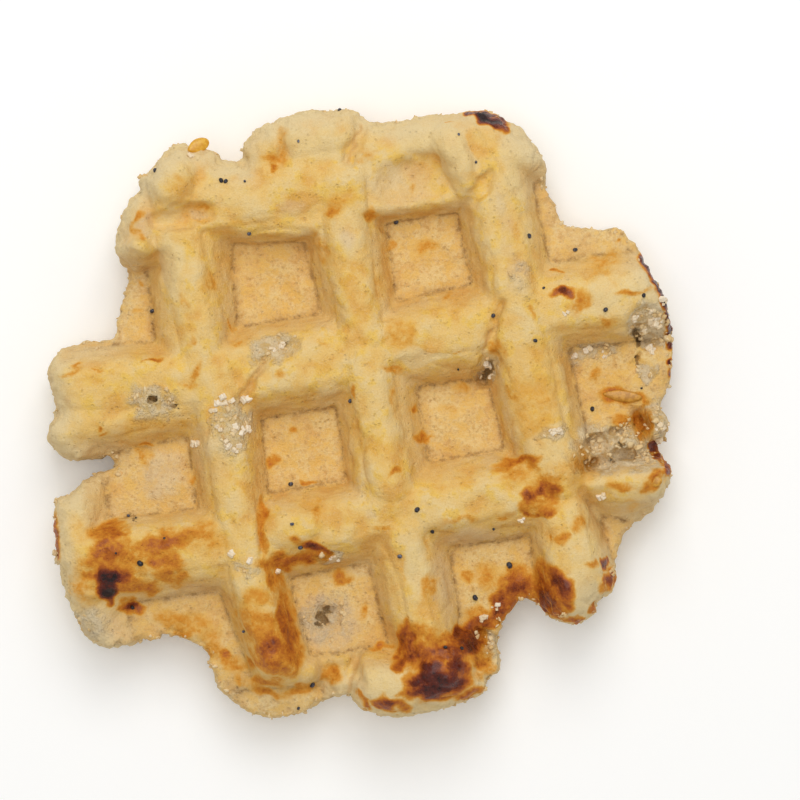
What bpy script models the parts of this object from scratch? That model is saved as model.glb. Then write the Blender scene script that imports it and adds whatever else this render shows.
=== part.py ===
"""A liege waffle baked in a deep square iron: one piece of dough with poppy seeds, flax seeds and
pearl sugar baked into it. Metres, +Z up, resting on its lower ridges at z = 0, shown side up."""

import math
import random

import bmesh
import bpy
import numpy as np
from mathutils import Euler, Matrix, Vector, noise
from mathutils.bvhtree import BVHTree
from mathutils.kdtree import KDTree

MM = 0.001

# Driving sizes, in millimetres
THICKNESS = 21.0
SEAM_HEIGHT = 10.4
WEB_TOP = 12.8
WEB_BOTTOM = 8.2
THINNEST_TOP = WEB_BOTTOM + 1.8
EDGE_ROUNDING = 5.2
EDGE_UPRIGHT_SHARE = 0.34
SWELL_HEIGHT = 0.5
SWELL_SIZE = 12.5
SWELL_LAYER = 3.1
CAST_STEP = 1.1
FOOT_TRIM = 0.2
FOOT_BLOCK = 200.0
ABOVE_ALL = 50.0
FINISHED_TRIANGLES = 8400

# How softly walls meet each other, the floor and the ridge, in parts of a wall's height
CORNER_BLEND = 0.35
FLOOR_BLEND = 0.16
RIDGE_BLEND = 0.7
UNDER_RIDGE_BLEND = 0.5
LUMP_FULLNESS = 0.75

# The iron's grid: where its first ridges cross, and one step along a row and down a column
GRID_START = np.array((-37.6, 39.1))
GRID_ROW = np.array((32.0, 5.4))
GRID_COLUMN = np.array((7.0, -32.0))
UNDER_RIDGE_HALF = 4.6
UNDER_WALL = 3.8

# The torn rim, clockwise from the notch at the back left, one stretch for each lobe or bay
RIM = {
    "back lobe": [
        (-23.4, 50.1), (-23.3, 52.5), (-21.8, 55.1), (-18.8, 57.4), (-14.8, 59.3), (-10.4, 60.2),
        (-5.8, 60.4), (-1.9, 60.7), (-0.3, 59.7), (0.9, 58.5),
    ],
    "back shoulder": [
        (6.8, 57.9), (11.4, 59.1), (17.4, 59.7), (22.4, 60.3), (27.5, 59.4), (32.0, 56.5),
        (35.0, 52.9), (36.9, 49.6), (37.1, 45.9), (38.8, 42.2), (40.6, 38.0),
    ],
    "right end of the middle ridge": [
        (43.4, 37.1), (48.8, 36.6), (51.4, 37.3), (54.5, 34.3), (56.3, 30.8), (59.2, 26.1),
        (61.1, 21.7), (62.2, 15.7), (62.2, 12.1), (61.5, 5.5), (60.1, 1.6),
    ],
    "right side of the near ridge": [
        (61.8, -1.5), (60.4, -4.9), (59.3, -6.4), (61.9, -11.0), (61.7, -12.4), (60.6, -15.9),
        (58.4, -18.9), (54.4, -22.1), (52.4, -25.5), (51.1, -29.5), (50.5, -35.0), (47.0, -37.6),
        (47.1, -39.6), (42.6, -41.7), (38.0, -40.4), (34.2, -37.7),
    ],
    "front bay": [
        (32.7, -36.9), (30.1, -39.3), (28.2, -42.4), (27.2, -44.6), (27.7, -50.9), (25.1, -52.5),
        (24.5, -55.7),
    ],
    "front lobe": [
        (19.4, -57.9), (13.4, -59.5), (7.2, -60.5), (1.6, -59.3), (-1.2, -57.5), (-2.2, -55.8),
    ],
    "front left lobe": [
        (-7.2, -57.2), (-11.8, -59.7), (-16.6, -60.7), (-22.2, -59.6), (-27.3, -55.6), (-29.0, -52.9),
        (-30.4, -48.1), (-33.8, -45.7), (-38.8, -43.9), (-40.5, -45.1), (-44.0, -45.3), (-45.6, -46.2),
    ],
    "left end of the near ridge": [
        (-51.2, -46.5), (-55.1, -43.7), (-57.3, -38.6), (-58.9, -33.9), (-60.5, -26.3), (-60.8, -18.4),
        (-60.3, -16.8), (-58.2, -16.5), (-54.4, -13.1), (-49.8, -11.3), (-48.8, -10.1), (-49.9, -8.6),
    ],
    "left end of the middle ridge": [
        (-53.0, -9.1), (-57.8, -8.7), (-61.2, -6.7), (-62.4, -3.8), (-60.3, -0.2), (-61.0, 2.7),
        (-62.3, 8.5), (-60.0, 11.9), (-55.6, 13.7), (-49.7, 14.9),
    ],
    "left bay": [
        (-48.2, 17.7), (-47.4, 23.5), (-46.3, 28.1), (-48.4, 33.1), (-47.4, 39.1), (-45.0, 43.4),
    ],
    "back left lobe": [
        (-43.8, 44.2), (-43.5, 47.1), (-41.8, 48.1), (-40.3, 50.2), (-36.8, 53.4), (-34.4, 53.3),
        (-29.6, 52.5), (-27.6, 50.4),
    ],
}

# Each pocket pressed by the iron: its floor's corners from the back left, clockwise, how wide its
# back, right, front and left walls are in plan, and its floor's height. Bays run out past the rim.
POCKETS = {
    "back left": (
        [(-25.6, 33.7), (-11.4, 34.1), (-7.8, 20.1), (-24.4, 17.3)], (3.2, 4.0, 3.6, 4.2), WEB_TOP,
    ),
    "back middle": (
        [(5.2, 37.9), (19.2, 40.1), (22.2, 25.9), (7.4, 22.7)], (2.0, 3.4, 3.6, 3.8), WEB_TOP,
    ),
    "middle left": (
        [(-19.6, -1.1), (-4.8, 1.3), (-2.8, -13.5), (-18.2, -15.7)], (3.6, 3.0, 3.4, 3.0), WEB_TOP,
    ),
    "middle right": (
        [(11.4, 5.3), (25.4, 6.9), (28.8, -7.1), (13.8, -9.5)], (4.0, 3.2, 4.0, 4.6), WEB_TOP,
    ),
    "front left": (
        [(-14.0, -32.9), (1.6, -29.9), (5.6, -46.3), (-9.6, -48.3)], (3.6, 3.4, 4.0, 3.6), WEB_TOP,
    ),
    "front bay": (
        [(18.0, -26.9), (33.8, -24.5), (36.0, -46.0), (20.4, -43.0)], (3.6, 3.0, 3.0, 4.2), WEB_TOP,
    ),
    "right bay": (
        [(41.8, 12.7), (66.0, 15.5), (66.0, -6.4), (46.6, -10.2)], (3.4, 3.0, 2.6, 3.2), WEB_TOP,
    ),
    "right front bay": (
        [(47.8, -20.6), (66.0, -23.6), (66.0, -40.0), (51.4, -32.0)], (5.0, 3.0, 3.0, 2.4), WEB_TOP - 0.4,
    ),
    "back right bay": (
        [(34.6, 46.0), (64.0, 52.0), (64.0, 33.8), (37.8, 30.3)], (4.0, 3.0, 4.6, 3.0), WEB_TOP + 0.2,
    ),
    "left bay": (
        [(-54.0, 29.5), (-42.8, 29.5), (-41.0, 14.4), (-56.0, 13.4)], (2.5, 4.0, 3.4, 4.0), WEB_TOP,
    ),
    "left front bay": (
        [(-51.0, -8.4), (-34.4, -4.7), (-32.6, -18.9), (-50.0, -21.0)], (4.2, 3.0, 2.6, 5.0), WEB_TOP + 0.4,
    ),
    "front left bay": (
        [(-46.5, -38.0), (-28.2, -35.5), (-21.6, -52.6), (-40.0, -66.0)], (3.4, 2.6, 3.0, 5.0), WEB_TOP,
    ),
    "front rim": (
        [(-24.0, -55.3), (-8.0, -54.6), (-5.0, -68.0), (-32.0, -68.0)], (3.6, 3.6, 3.0, 3.6), WEB_TOP - 0.4,
    ),
}

# Domes of dough, as place, half length, half width, turn in degrees and height over what is there
LUMPS = {
    "ball at the back left": (-37.8, 46.9, 4.9, 4.7, 0, 2.6),
    "knob under the ball": (-44.6, 37.4, 3.6, 4.6, 10, 1.6),
    "knob on the left bay": (-44.6, 31.3, 3.8, 3.4, 0, 5.0),
    "back lobe": (-11.0, 56.4, 8.0, 5.6, -8, 1.4),
    "start of the right ridge": (19.4, 51.4, 3.4, 6.6, 16, 1.5),
    "back shoulder": (31.5, 50.0, 7.0, 9.0, 25, 0.9),
    "flat mass on the back ridge": (-17.0, 43.6, 11.0, 5.6, 10, 0.9),
    "front end of the middle column": (6.2, -12.4, 5.4, 8.6, 14, 1.1),
    "roll on the near ridge": (-13.2, -22.6, 5.6, 3.8, 5, 1.5),
    "tail of the left column": (-18.6, -43.4, 4.8, 10.4, 12, 0.9),
    "burnt knob at the front": (15.6, -53.2, 6.2, 4.4, 8, 1.6),
    "pale lobe at the front": (3.6, -54.2, 5.8, 4.8, 0, 0.8),
    "end of the right column": (44.0, -10.6, 3.4, 4.2, 10, 0.9),
    "near lobe of the right column": (42.6, -31.0, 5.0, 9.0, 12, 0.8),
    "torn crumb in the right bay": (51.0, -5.4, 7.4, 4.6, 8, 3.2),
    "torn crumb by the rim": (59.0, -2.2, 3.6, 3.6, 0, 4.4),
}

# Dents and tears, as place, half length, half width, turn in degrees and depth
DENTS = {
    "low back ridge": (11.8, 46.6, 7.6, 5.2, 8, 2.6),
    "valley under the ball": (-35.6, 39.0, 6.4, 2.6, 12, 3.0),
    "notch behind the right column": (24.2, 44.8, 1.9, 4.2, -35, 1.6),
    "torn corner of the middle right pocket": (25.4, 8.6, 2.8, 3.4, -20, 4.4),
    "broken edge of the left cross": (-16.8, 13.2, 4.6, 2.8, 10, 1.6),
    "torn end of the middle ridge": (57.6, 17.0, 4.6, 4.2, -20, 2.8),
    "tear in the right bay": (55.8, -2.6, 2.2, 3.6, 5, 3.4),
    "broken floor at the front": (-7.0, -40.7, 2.6, 3.0, 0, 2.2),
    "dip before the front notch": (-4.4, -52.6, 5.0, 4.2, 0, 4.0),
    "low lobe at the front left": (-53.0, -42.6, 6.6, 5.6, 0, 3.6),
    "hollow by the front bay": (24.6, -47.6, 3.2, 4.6, 0, 3.4),
}

# Folds where one ridge of dough met another, as both ends, half width and depth
CREASES = {
    "left cross": ((-18.6, 10.7), (-23.8, 2.1), 0.9, 1.5),
    "right cross": ((28.4, 21.7), (24.6, 12.5), 0.9, 1.2),
    "left cross, near": ((-19.6, -17.5), (-19.6, -27.3), 0.9, 1.2),
    "back lobe, left": ((-15.4, 57.0), (-15.4, 49.6), 1.4, 1.4),
    "back lobe, right": ((0.2, 57.6), (-2.4, 50.0), 1.4, 1.7),
    "front notch": ((-2.2, -55.4), (-0.6, -49.0), 1.3, 2.0),
    "right column, near": ((45.0, -17.1), (49.2, -25.5), 0.9, 1.3),
    "left bay knob": ((-46.4, 28.4), (-40.4, 29.0), 1.0, 1.5),
}

# Poppy seeds that show, as places on the top, and how far their middles stand proud of the dough
POPPY_RADIUS = 0.5
POPPY_PROUD = 0.12
POPPY_SEEDS = [
    (-27.6, 46.3), (-26.5, 46.1), (29.8, -30.3), (23.0, -36.6), (-40.6, 48.3), (-22.0, 35.9),
    (-4.0, 60.0), (7.2, 38.3), (33.6, 35.3), (19.6, 55.2), (22.9, 49.9), (-41.4, 20.5), (26.4, 19.5),
    (34.8, 14.5), (43.0, 32.7), (48.8, 20.7), (56.4, 23.5), (46.4, 0.8), (-1.7, 2.5), (11.4, -19.1),
    (13.8, -23.3), (-13.8, -14.1), (-13.4, -21.9), (-11.8, -26.5), (-43.6, -29.8), (-44.6, -20.9),
    (-45.2, -38.7), (-9.6, -54.1), (26.6, -22.9), (17.0, -46.5), (20.2, -46.7), (-22.8, 46.0),
]

# Flax seeds, as place, turn and tilt in degrees
FLAX_HALF = (2.2, 1.25, 0.55)
FLAX_PROUD = 0.2
FLAX_SEEDS = [(-32.0, 53.0, 25, 25), (51.4, 3.6, -8, 4), (58.8, -13.3, 12, 10)]

# Pearl sugar that shows as pale grains, as place and size across its corners
GRAIN_EDGE_SHARE = 0.72
GRAIN_PROUD = 0.1
SUGAR_GRAINS = [
    (-27.0, 2.3, 2.6), (-29.2, 0.3, 1.4), (-27.6, -3.1, 1.6), (-22.8, -3.5, 2.0), (-26.4, -6.3, 1.7),
    (-24.6, -7.3, 1.5), (-22.6, 2.7, 1.6), (-24.4, -2.9, 1.4), (-32.6, -6.1, 1.2), (-17.4, 13.1, 1.7),
    (25.4, 10.1, 1.9), (26.4, 7.9, 1.6), (41.2, 19.9, 1.7), (45.6, 12.7, 1.4), (48.6, 11.5, 1.5),
    (38.6, -3.5, 2.4), (48.2, -16.3, 1.8), (-5.4, -28.7, 1.8), (-16.2, -31.3, 1.2), (-21.6, -29.3, 1.2),
    (26.8, -38.7, 1.7), (24.6, -40.9, 1.3),
]

# Finishes: colour, roughness
DOUGH_FINISH = ((0.79, 0.60, 0.33), 0.62)


def remove_everything():
    for thing in list(bpy.data.objects):
        bpy.data.objects.remove(thing, do_unlink=True)


def collection(name):
    made = bpy.data.collections.new(name)
    bpy.context.scene.collection.children.link(made)
    return made


def finish(name, colour, roughness):
    material = bpy.data.materials.new(name)
    material.use_nodes = True
    shader = material.node_tree.nodes["Principled BSDF"]
    shader.inputs["Base Color"].default_value = (*colour, 1.0)
    shader.inputs["Roughness"].default_value = roughness
    return material


def evaluated_mesh(thing):
    bpy.context.view_layer.update()
    shown = thing.evaluated_get(bpy.context.evaluated_depsgraph_get())
    return bpy.data.meshes.new_from_object(shown)


def bake_modifiers(thing):
    mesh = evaluated_mesh(thing)
    thing.modifiers.clear()
    thing.data = mesh


def add_cutter(name, group, model):
    """A helper shape that cuts the dough or is fused to it, hidden in renders."""
    mesh = bpy.data.meshes.new(name)
    model.to_mesh(mesh)
    model.free()
    helper = bpy.data.objects.new(name, mesh)
    helper.hide_render = True
    helper.display_type = "WIRE"
    group.objects.link(helper)
    return helper


def rim_curve():
    """The rim as one smooth closed curve, filled and as thick as the waffle."""
    curve = bpy.data.curves.new("rim", "CURVE")
    curve.dimensions = "2D"
    curve.fill_mode = "BOTH"
    curve.resolution_u = 5
    curve.extrude = THICKNESS / 2 * MM
    knots = [place for stretch in RIM.values() for place in stretch]
    spline = curve.splines.new("BEZIER")
    spline.bezier_points.add(len(knots) - 1)
    spline.use_cyclic_u = True
    for knot, (x, y) in zip(spline.bezier_points, knots):
        knot.co = (x * MM, y * MM, 0)
        knot.handle_left_type = "AUTO"
        knot.handle_right_type = "AUTO"
    return curve


def blank_of(curve, keep):
    """The flat blank of dough, evenly meshed, before the iron closes on it."""
    blank = bpy.data.objects.new("waffle", curve)
    blank.location.z = THICKNESS / 2 * MM
    keep.objects.link(blank)
    mesh = evaluated_mesh(blank)
    mesh.transform(Matrix.Translation(blank.location))
    bpy.data.objects.remove(blank)
    dough = bpy.data.objects.new("waffle", mesh)
    keep.objects.link(dough)
    weld = dough.modifiers.new("weld caps", "WELD")
    weld.merge_threshold = 0.00001
    cast = dough.modifiers.new("even mesh", "REMESH")
    cast.mode = "VOXEL"
    cast.voxel_size = CAST_STEP * MM
    bake_modifiers(dough)
    return dough


def rim_samples(curve):
    """Points close together along the rim, in millimetres."""
    flat = curve.copy()
    flat.extrude = 0
    flat.fill_mode = "NONE"
    flat.resolution_u = 12
    guide = bpy.data.objects.new("rim guide", flat)
    bpy.context.scene.collection.objects.link(guide)
    mesh = evaluated_mesh(guide)
    points = [vertex.co / MM for vertex in mesh.vertices]
    bpy.data.objects.remove(guide)
    return points


def distance_to_rim(places, samples):
    tree = KDTree(len(samples))
    for index, point in enumerate(samples):
        tree.insert((point.x, point.y, 0), index)
    tree.balance()
    return np.array([tree.find((x, y, 0))[2] for x, y in places])


def soft_max(a, b, reach):
    blend = np.maximum(reach - np.abs(a - b), 0) / reach
    return np.maximum(a, b) + blend * blend * reach / 4


def soft_min(a, b, reach):
    return -soft_max(-a, -b, reach)


def wall_share(places, corners, walls):
    """How far up its walls a place is in a pocket: 0 on the floor, 1 at the top of the wall."""
    share = None
    for corner, following, wall in zip(corners, corners[1:] + corners[:1], walls):
        along = np.subtract(following, corner)
        outward = np.array((-along[1], along[0])) / np.hypot(*along)
        climb = (places - corner) @ outward / wall
        share = climb if share is None else soft_max(share, climb, CORNER_BLEND)
    return share


def rounded_climb(share, ridge_blend):
    """0 on the floor and 1 on the ridge, with a rounded foot and a rounded shoulder between them."""
    return soft_min(soft_max(share, np.zeros_like(share), FLOOR_BLEND), np.ones_like(share), ridge_blend)


def pressed(height, places, corners, walls, floor):
    """The height after the iron's block has pressed one pocket, with a rounded edge round it."""
    climb = rounded_climb(wall_share(places, corners, walls), RIDGE_BLEND)
    return np.minimum(height, floor + (height - floor) * climb)


def oval(places, x, y, half_length, half_width, turn):
    """1 at the middle of an oval, 0 at its edge and outside it."""
    angle = math.radians(turn)
    dx, dy = places[:, 0] - x, places[:, 1] - y
    along = (dx * math.cos(angle) + dy * math.sin(angle)) / half_length
    across = (dy * math.cos(angle) - dx * math.sin(angle)) / half_width
    return np.clip(1 - along * along - across * across, 0, 1)


def near_line(places, start, end, half_width):
    """1 on a line between two places, falling to 0 away from it."""
    along = np.subtract(end, start)
    share = np.clip((places - start) @ along / (along @ along), 0, 1)
    gap = places - (np.array(start) + share[:, None] * along)
    return np.exp(-(gap[:, 0] ** 2 + gap[:, 1] ** 2) / half_width**2)


def top_height(places):
    """Height of the shown side, in millimetres, before it rounds off at the rim."""
    height = np.full(len(places), THICKNESS)
    for corners, walls, floor in POCKETS.values():
        height = pressed(height, places, corners, walls, floor)
    for x, y, half_length, half_width, turn, rise in LUMPS.values():
        height = height + rise * oval(places, x, y, half_length, half_width, turn) ** LUMP_FULLNESS
    for x, y, half_length, half_width, turn, depth in DENTS.values():
        height = height - depth * oval(places, x, y, half_length, half_width, turn)
    for start, end, half_width, depth in CREASES.values():
        height = height - depth * near_line(places, start, end, half_width)
    return np.maximum(height, THINNEST_TOP)


def under_height(places):
    """Height of the underside: the same iron pattern, with every pocket whole."""
    depth = np.zeros(len(places))
    half_row, half_column = GRID_ROW / 2, GRID_COLUMN / 2
    shrink = 1 - (UNDER_RIDGE_HALF + UNDER_WALL) / np.hypot(*half_row)
    for row in range(-1, 4):
        for column in range(-1, 4):
            middle = GRID_START + (column + 0.5) * GRID_ROW + (row + 0.5) * GRID_COLUMN
            corners = [
                tuple(middle + shrink * (a * half_row + b * half_column))
                for a, b in ((-1, -1), (1, -1), (1, 1), (-1, 1))
            ]
            climb = rounded_climb(wall_share(places, corners, (UNDER_WALL,) * 4), UNDER_RIDGE_BLEND)
            depth = np.maximum(depth, WEB_BOTTOM * (1 - climb))
    return depth


def bake_dough(dough, samples):
    """Moves the blank's points to where the iron and the rising dough leave them."""
    mesh = dough.data
    flat = np.empty(len(mesh.vertices) * 3)
    mesh.vertices.foreach_get("co", flat)
    points = flat.reshape(-1, 3) / MM
    places = points[:, :2]
    inset = np.clip(1 - distance_to_rim(places, samples) / EDGE_ROUNDING, 0, 1)
    edge = EDGE_UPRIGHT_SHARE + (1 - EDGE_UPRIGHT_SHARE) * np.sqrt(1 - inset * inset)
    swell = np.array([noise.noise((x / SWELL_SIZE, y / SWELL_SIZE, SWELL_LAYER)) for x, y in places])
    top = top_height(places) + SWELL_HEIGHT * swell
    top = SEAM_HEIGHT + (top - SEAM_HEIGHT) * edge
    bottom = SEAM_HEIGHT - (SEAM_HEIGHT - under_height(places)) * edge
    share = points[:, 2] / THICKNESS
    points[:, 2] = bottom + (top - bottom) * share
    mesh.vertices.foreach_set("co", (points * MM).ravel())
    mesh.update()


def even_out(dough):
    """Meshes the baked dough again with even faces, softens it, and keeps the faces it needs."""
    cast = dough.modifiers.new("even mesh", "REMESH")
    cast.mode = "VOXEL"
    cast.voxel_size = CAST_STEP * MM
    relax = dough.modifiers.new("relax", "SMOOTH")
    relax.factor = 0.5
    relax.iterations = 2
    bake_modifiers(dough)
    fewer = dough.modifiers.new("fewer faces", "DECIMATE")
    fewer.ratio = FINISHED_TRIANGLES / (2 * len(dough.data.polygons))
    bake_modifiers(dough)


def trim_feet(dough, cutters):
    """Cuts the lowest ridges level, so that the waffle has flat faces to rest on."""
    foot = min(vertex.co.z for vertex in dough.data.vertices) + FOOT_TRIM * MM
    model = bmesh.new()
    bmesh.ops.create_cube(model, size=FOOT_BLOCK * MM)
    block = add_cutter("foot block", cutters, model)
    block.location.z = foot - FOOT_BLOCK / 2 * MM
    trim = dough.modifiers.new("trim feet", "BOOLEAN")
    trim.operation = "DIFFERENCE"
    trim.solver = "EXACT"
    trim.object = block
    bake_modifiers(dough)
    bpy.data.objects.remove(block)
    dough.data.transform(Matrix.Translation((0, 0, -foot)))


def surface_finder(dough):
    """Returns a function giving the point and normal of the top above a place."""
    model = bmesh.new()
    model.from_mesh(dough.data)
    tree = BVHTree.FromBMesh(model)
    model.free()

    def find(x, y):
        point, normal, _, _ = tree.ray_cast(Vector((x, y, ABOVE_ALL)) * MM, Vector((0, 0, -1)))
        return point, normal

    return find


def add_poppy_seeds(pieces, find):
    for index, (x, y) in enumerate(POPPY_SEEDS):
        point, normal = find(x, y)
        if point is None:
            continue
        model = bmesh.new()
        bmesh.ops.create_uvsphere(model, u_segments=6, v_segments=4, radius=POPPY_RADIUS * MM)
        seed = add_cutter(f"poppy_seed_{index:02}", pieces, model)
        seed.location = point + normal * POPPY_PROUD * MM


def add_flax_seeds(pieces, find):
    for index, (x, y, turn, tilt) in enumerate(FLAX_SEEDS):
        point, normal = find(x, y)
        if point is None:
            continue
        model = bmesh.new()
        bmesh.ops.create_uvsphere(model, u_segments=8, v_segments=5, radius=MM)
        bmesh.ops.scale(model, vec=FLAX_HALF, verts=model.verts)
        seed = add_cutter(f"flax_seed_{index}", pieces, model)
        seed.rotation_euler = Euler((0, math.radians(-tilt), math.radians(turn)))
        seed.location = point + normal * FLAX_PROUD * MM


def add_sugar(pieces, find):
    draw = random.Random(7)
    for index, (x, y, size) in enumerate(SUGAR_GRAINS):
        point, normal = find(x, y)
        if point is None:
            continue
        model = bmesh.new()
        bmesh.ops.create_cube(model, size=size * GRAIN_EDGE_SHARE * MM)
        grain = add_cutter(f"sugar_grain_{index:02}", pieces, model)
        grain.rotation_euler = Euler([draw.uniform(0.1, math.pi) for _ in range(3)])
        grain.location = point + normal * GRAIN_PROUD * MM


def fuse_toppings(dough, pieces):
    union = dough.modifiers.new("baked in", "BOOLEAN")
    union.operation = "UNION"
    union.operand_type = "COLLECTION"
    union.collection = pieces
    union.solver = "EXACT"
    bake_modifiers(dough)
    for piece in list(pieces.objects):
        bpy.data.objects.remove(piece)


remove_everything()
waffle_parts = collection("liege waffle")
topping_parts = collection("toppings")
rim = rim_curve()
waffle = blank_of(rim, waffle_parts)
bake_dough(waffle, rim_samples(rim))
even_out(waffle)
trim_feet(waffle, topping_parts)
find_top = surface_finder(waffle)
add_poppy_seeds(topping_parts, find_top)
add_flax_seeds(topping_parts, find_top)
add_sugar(topping_parts, find_top)
fuse_toppings(waffle, topping_parts)
waffle.data.materials.clear()
waffle.data.materials.append(finish("baked dough", *DOUGH_FINISH))
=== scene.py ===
"""Looks of a liege waffle: rough baked dough with browned and burnt sugar, poppy seeds, flax seeds,
pearl sugar and loose crumbs, seen from straight above in soft light. Lengths in tables are millimetres."""

import math
import random

import bpy
import numpy as np
from mathutils import Euler, Matrix, Vector, noise
from mathutils.bvhtree import BVHTree
from mathutils.kdtree import KDTree


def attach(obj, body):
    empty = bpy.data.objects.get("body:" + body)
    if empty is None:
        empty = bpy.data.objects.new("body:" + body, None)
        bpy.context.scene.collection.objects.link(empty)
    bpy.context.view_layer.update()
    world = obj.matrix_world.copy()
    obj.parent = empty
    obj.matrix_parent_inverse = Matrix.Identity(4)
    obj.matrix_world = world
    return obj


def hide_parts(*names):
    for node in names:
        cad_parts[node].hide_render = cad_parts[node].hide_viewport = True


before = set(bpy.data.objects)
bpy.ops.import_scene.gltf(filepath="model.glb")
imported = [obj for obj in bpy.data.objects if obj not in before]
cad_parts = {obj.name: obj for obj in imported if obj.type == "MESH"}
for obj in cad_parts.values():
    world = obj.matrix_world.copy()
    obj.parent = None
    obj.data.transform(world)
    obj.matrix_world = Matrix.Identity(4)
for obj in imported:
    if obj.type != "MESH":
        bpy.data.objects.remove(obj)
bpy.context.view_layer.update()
bpy.ops.object.select_all(action="DESELECT")

# The dough: one piece, pulled from a deep square iron. The rim is torn where the yeast dough ran out
# between the irons, the ridges stand round pressed pockets, and lumps and folds show how it rose.
# It stands for the whole baked node, so it repeats the solid's rim, pockets, lumps and folds.
MM = 0.001
THICKNESS = 21.0
SEAM_HEIGHT = 10.4
WEB_BOTTOM = 8.2
WEB_TOP = 12.8
THINNEST_WEB = 1.2
EDGE_ROUNDING = 5.2
EDGE_UPRIGHT_SHARE = 0.34
DOUGH_STEP = 0.54
SWELL_SIZE = 12.5
SWELL_LAYER = 3.1
RIDGE_BASE = 19.9
RIDGE_FULLNESS = 0.6
HIGHEST = 23.8
LUMP_SPREAD = 1.25
UNDERSIDE_SHARE = 0.1
GRID_START = np.array((-37.6, 39.1))
GRID_ROW = np.array((32.0, 5.4))
GRID_COLUMN = np.array((7.0, -32.0))
UNDER_RIDGE_HALF = 4.6
UNDER_WALL = 3.8

RIM = {
    "back lobe": [
        (-23.4, 50.1), (-23.3, 52.5), (-21.8, 55.1), (-18.8, 57.4), (-14.8, 59.3), (-10.4, 60.2),
        (-5.8, 60.4), (-1.9, 60.7), (-0.3, 59.7), (0.9, 58.5),
    ],
    "back shoulder": [
        (6.8, 57.9), (11.4, 59.1), (17.4, 59.7), (22.4, 60.3), (27.5, 59.4), (32.0, 56.5),
        (35.0, 52.9), (36.9, 49.6), (37.1, 45.9), (38.8, 42.2), (40.6, 38.0),
    ],
    "right end of the middle ridge": [
        (43.4, 37.1), (48.8, 36.6), (51.4, 37.3), (54.5, 34.3), (56.3, 30.8), (59.2, 26.1),
        (61.1, 21.7), (62.2, 15.7), (62.2, 12.1), (61.5, 5.5), (60.1, 1.6),
    ],
    "right side of the near ridge": [
        (61.8, -1.5), (60.4, -4.9), (59.3, -6.4), (61.9, -11.0), (61.7, -12.4), (60.6, -15.9),
        (58.4, -18.9), (54.4, -22.1), (52.4, -25.5), (51.1, -29.5), (50.5, -35.0), (47.0, -37.6),
        (47.1, -39.6), (42.6, -41.7), (38.0, -40.4), (34.2, -37.7),
    ],
    "front bay": [
        (32.7, -36.9), (30.1, -39.3), (28.2, -42.4), (27.2, -44.6), (27.7, -50.9), (25.1, -52.5),
        (24.5, -55.7),
    ],
    "front lobe": [
        (19.4, -57.9), (13.4, -59.5), (7.2, -60.5), (1.6, -59.3), (-1.2, -57.5), (-2.2, -55.8),
    ],
    "front left lobe": [
        (-7.2, -57.2), (-11.8, -59.7), (-16.6, -60.7), (-22.2, -59.6), (-27.3, -55.6), (-29.0, -52.9),
        (-30.4, -48.1), (-33.8, -45.7), (-38.8, -43.9), (-40.5, -45.1), (-44.0, -45.3), (-45.6, -46.2),
    ],
    "left end of the near ridge": [
        (-51.2, -46.5), (-55.1, -43.7), (-57.3, -38.6), (-58.9, -33.9), (-60.5, -26.3), (-60.8, -18.4),
        (-60.3, -16.8), (-58.2, -16.5), (-54.4, -13.1), (-49.8, -11.3), (-48.8, -10.1), (-49.9, -8.6),
    ],
    "left end of the middle ridge": [
        (-53.0, -9.1), (-57.8, -8.7), (-61.2, -6.7), (-62.4, -3.8), (-60.3, -0.2), (-61.0, 2.7),
        (-62.3, 8.5), (-60.0, 11.9), (-55.6, 13.7), (-49.7, 14.9),
    ],
    "left bay": [
        (-48.2, 17.7), (-47.4, 23.5), (-46.3, 28.1), (-48.4, 33.1), (-47.4, 39.1), (-45.0, 43.4),
    ],
    "back left lobe": [
        (-43.8, 44.2), (-43.5, 47.1), (-41.8, 48.1), (-40.3, 50.2), (-36.8, 53.4), (-34.4, 53.3),
        (-29.6, 52.5), (-27.6, 50.4),
    ],
}

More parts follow.
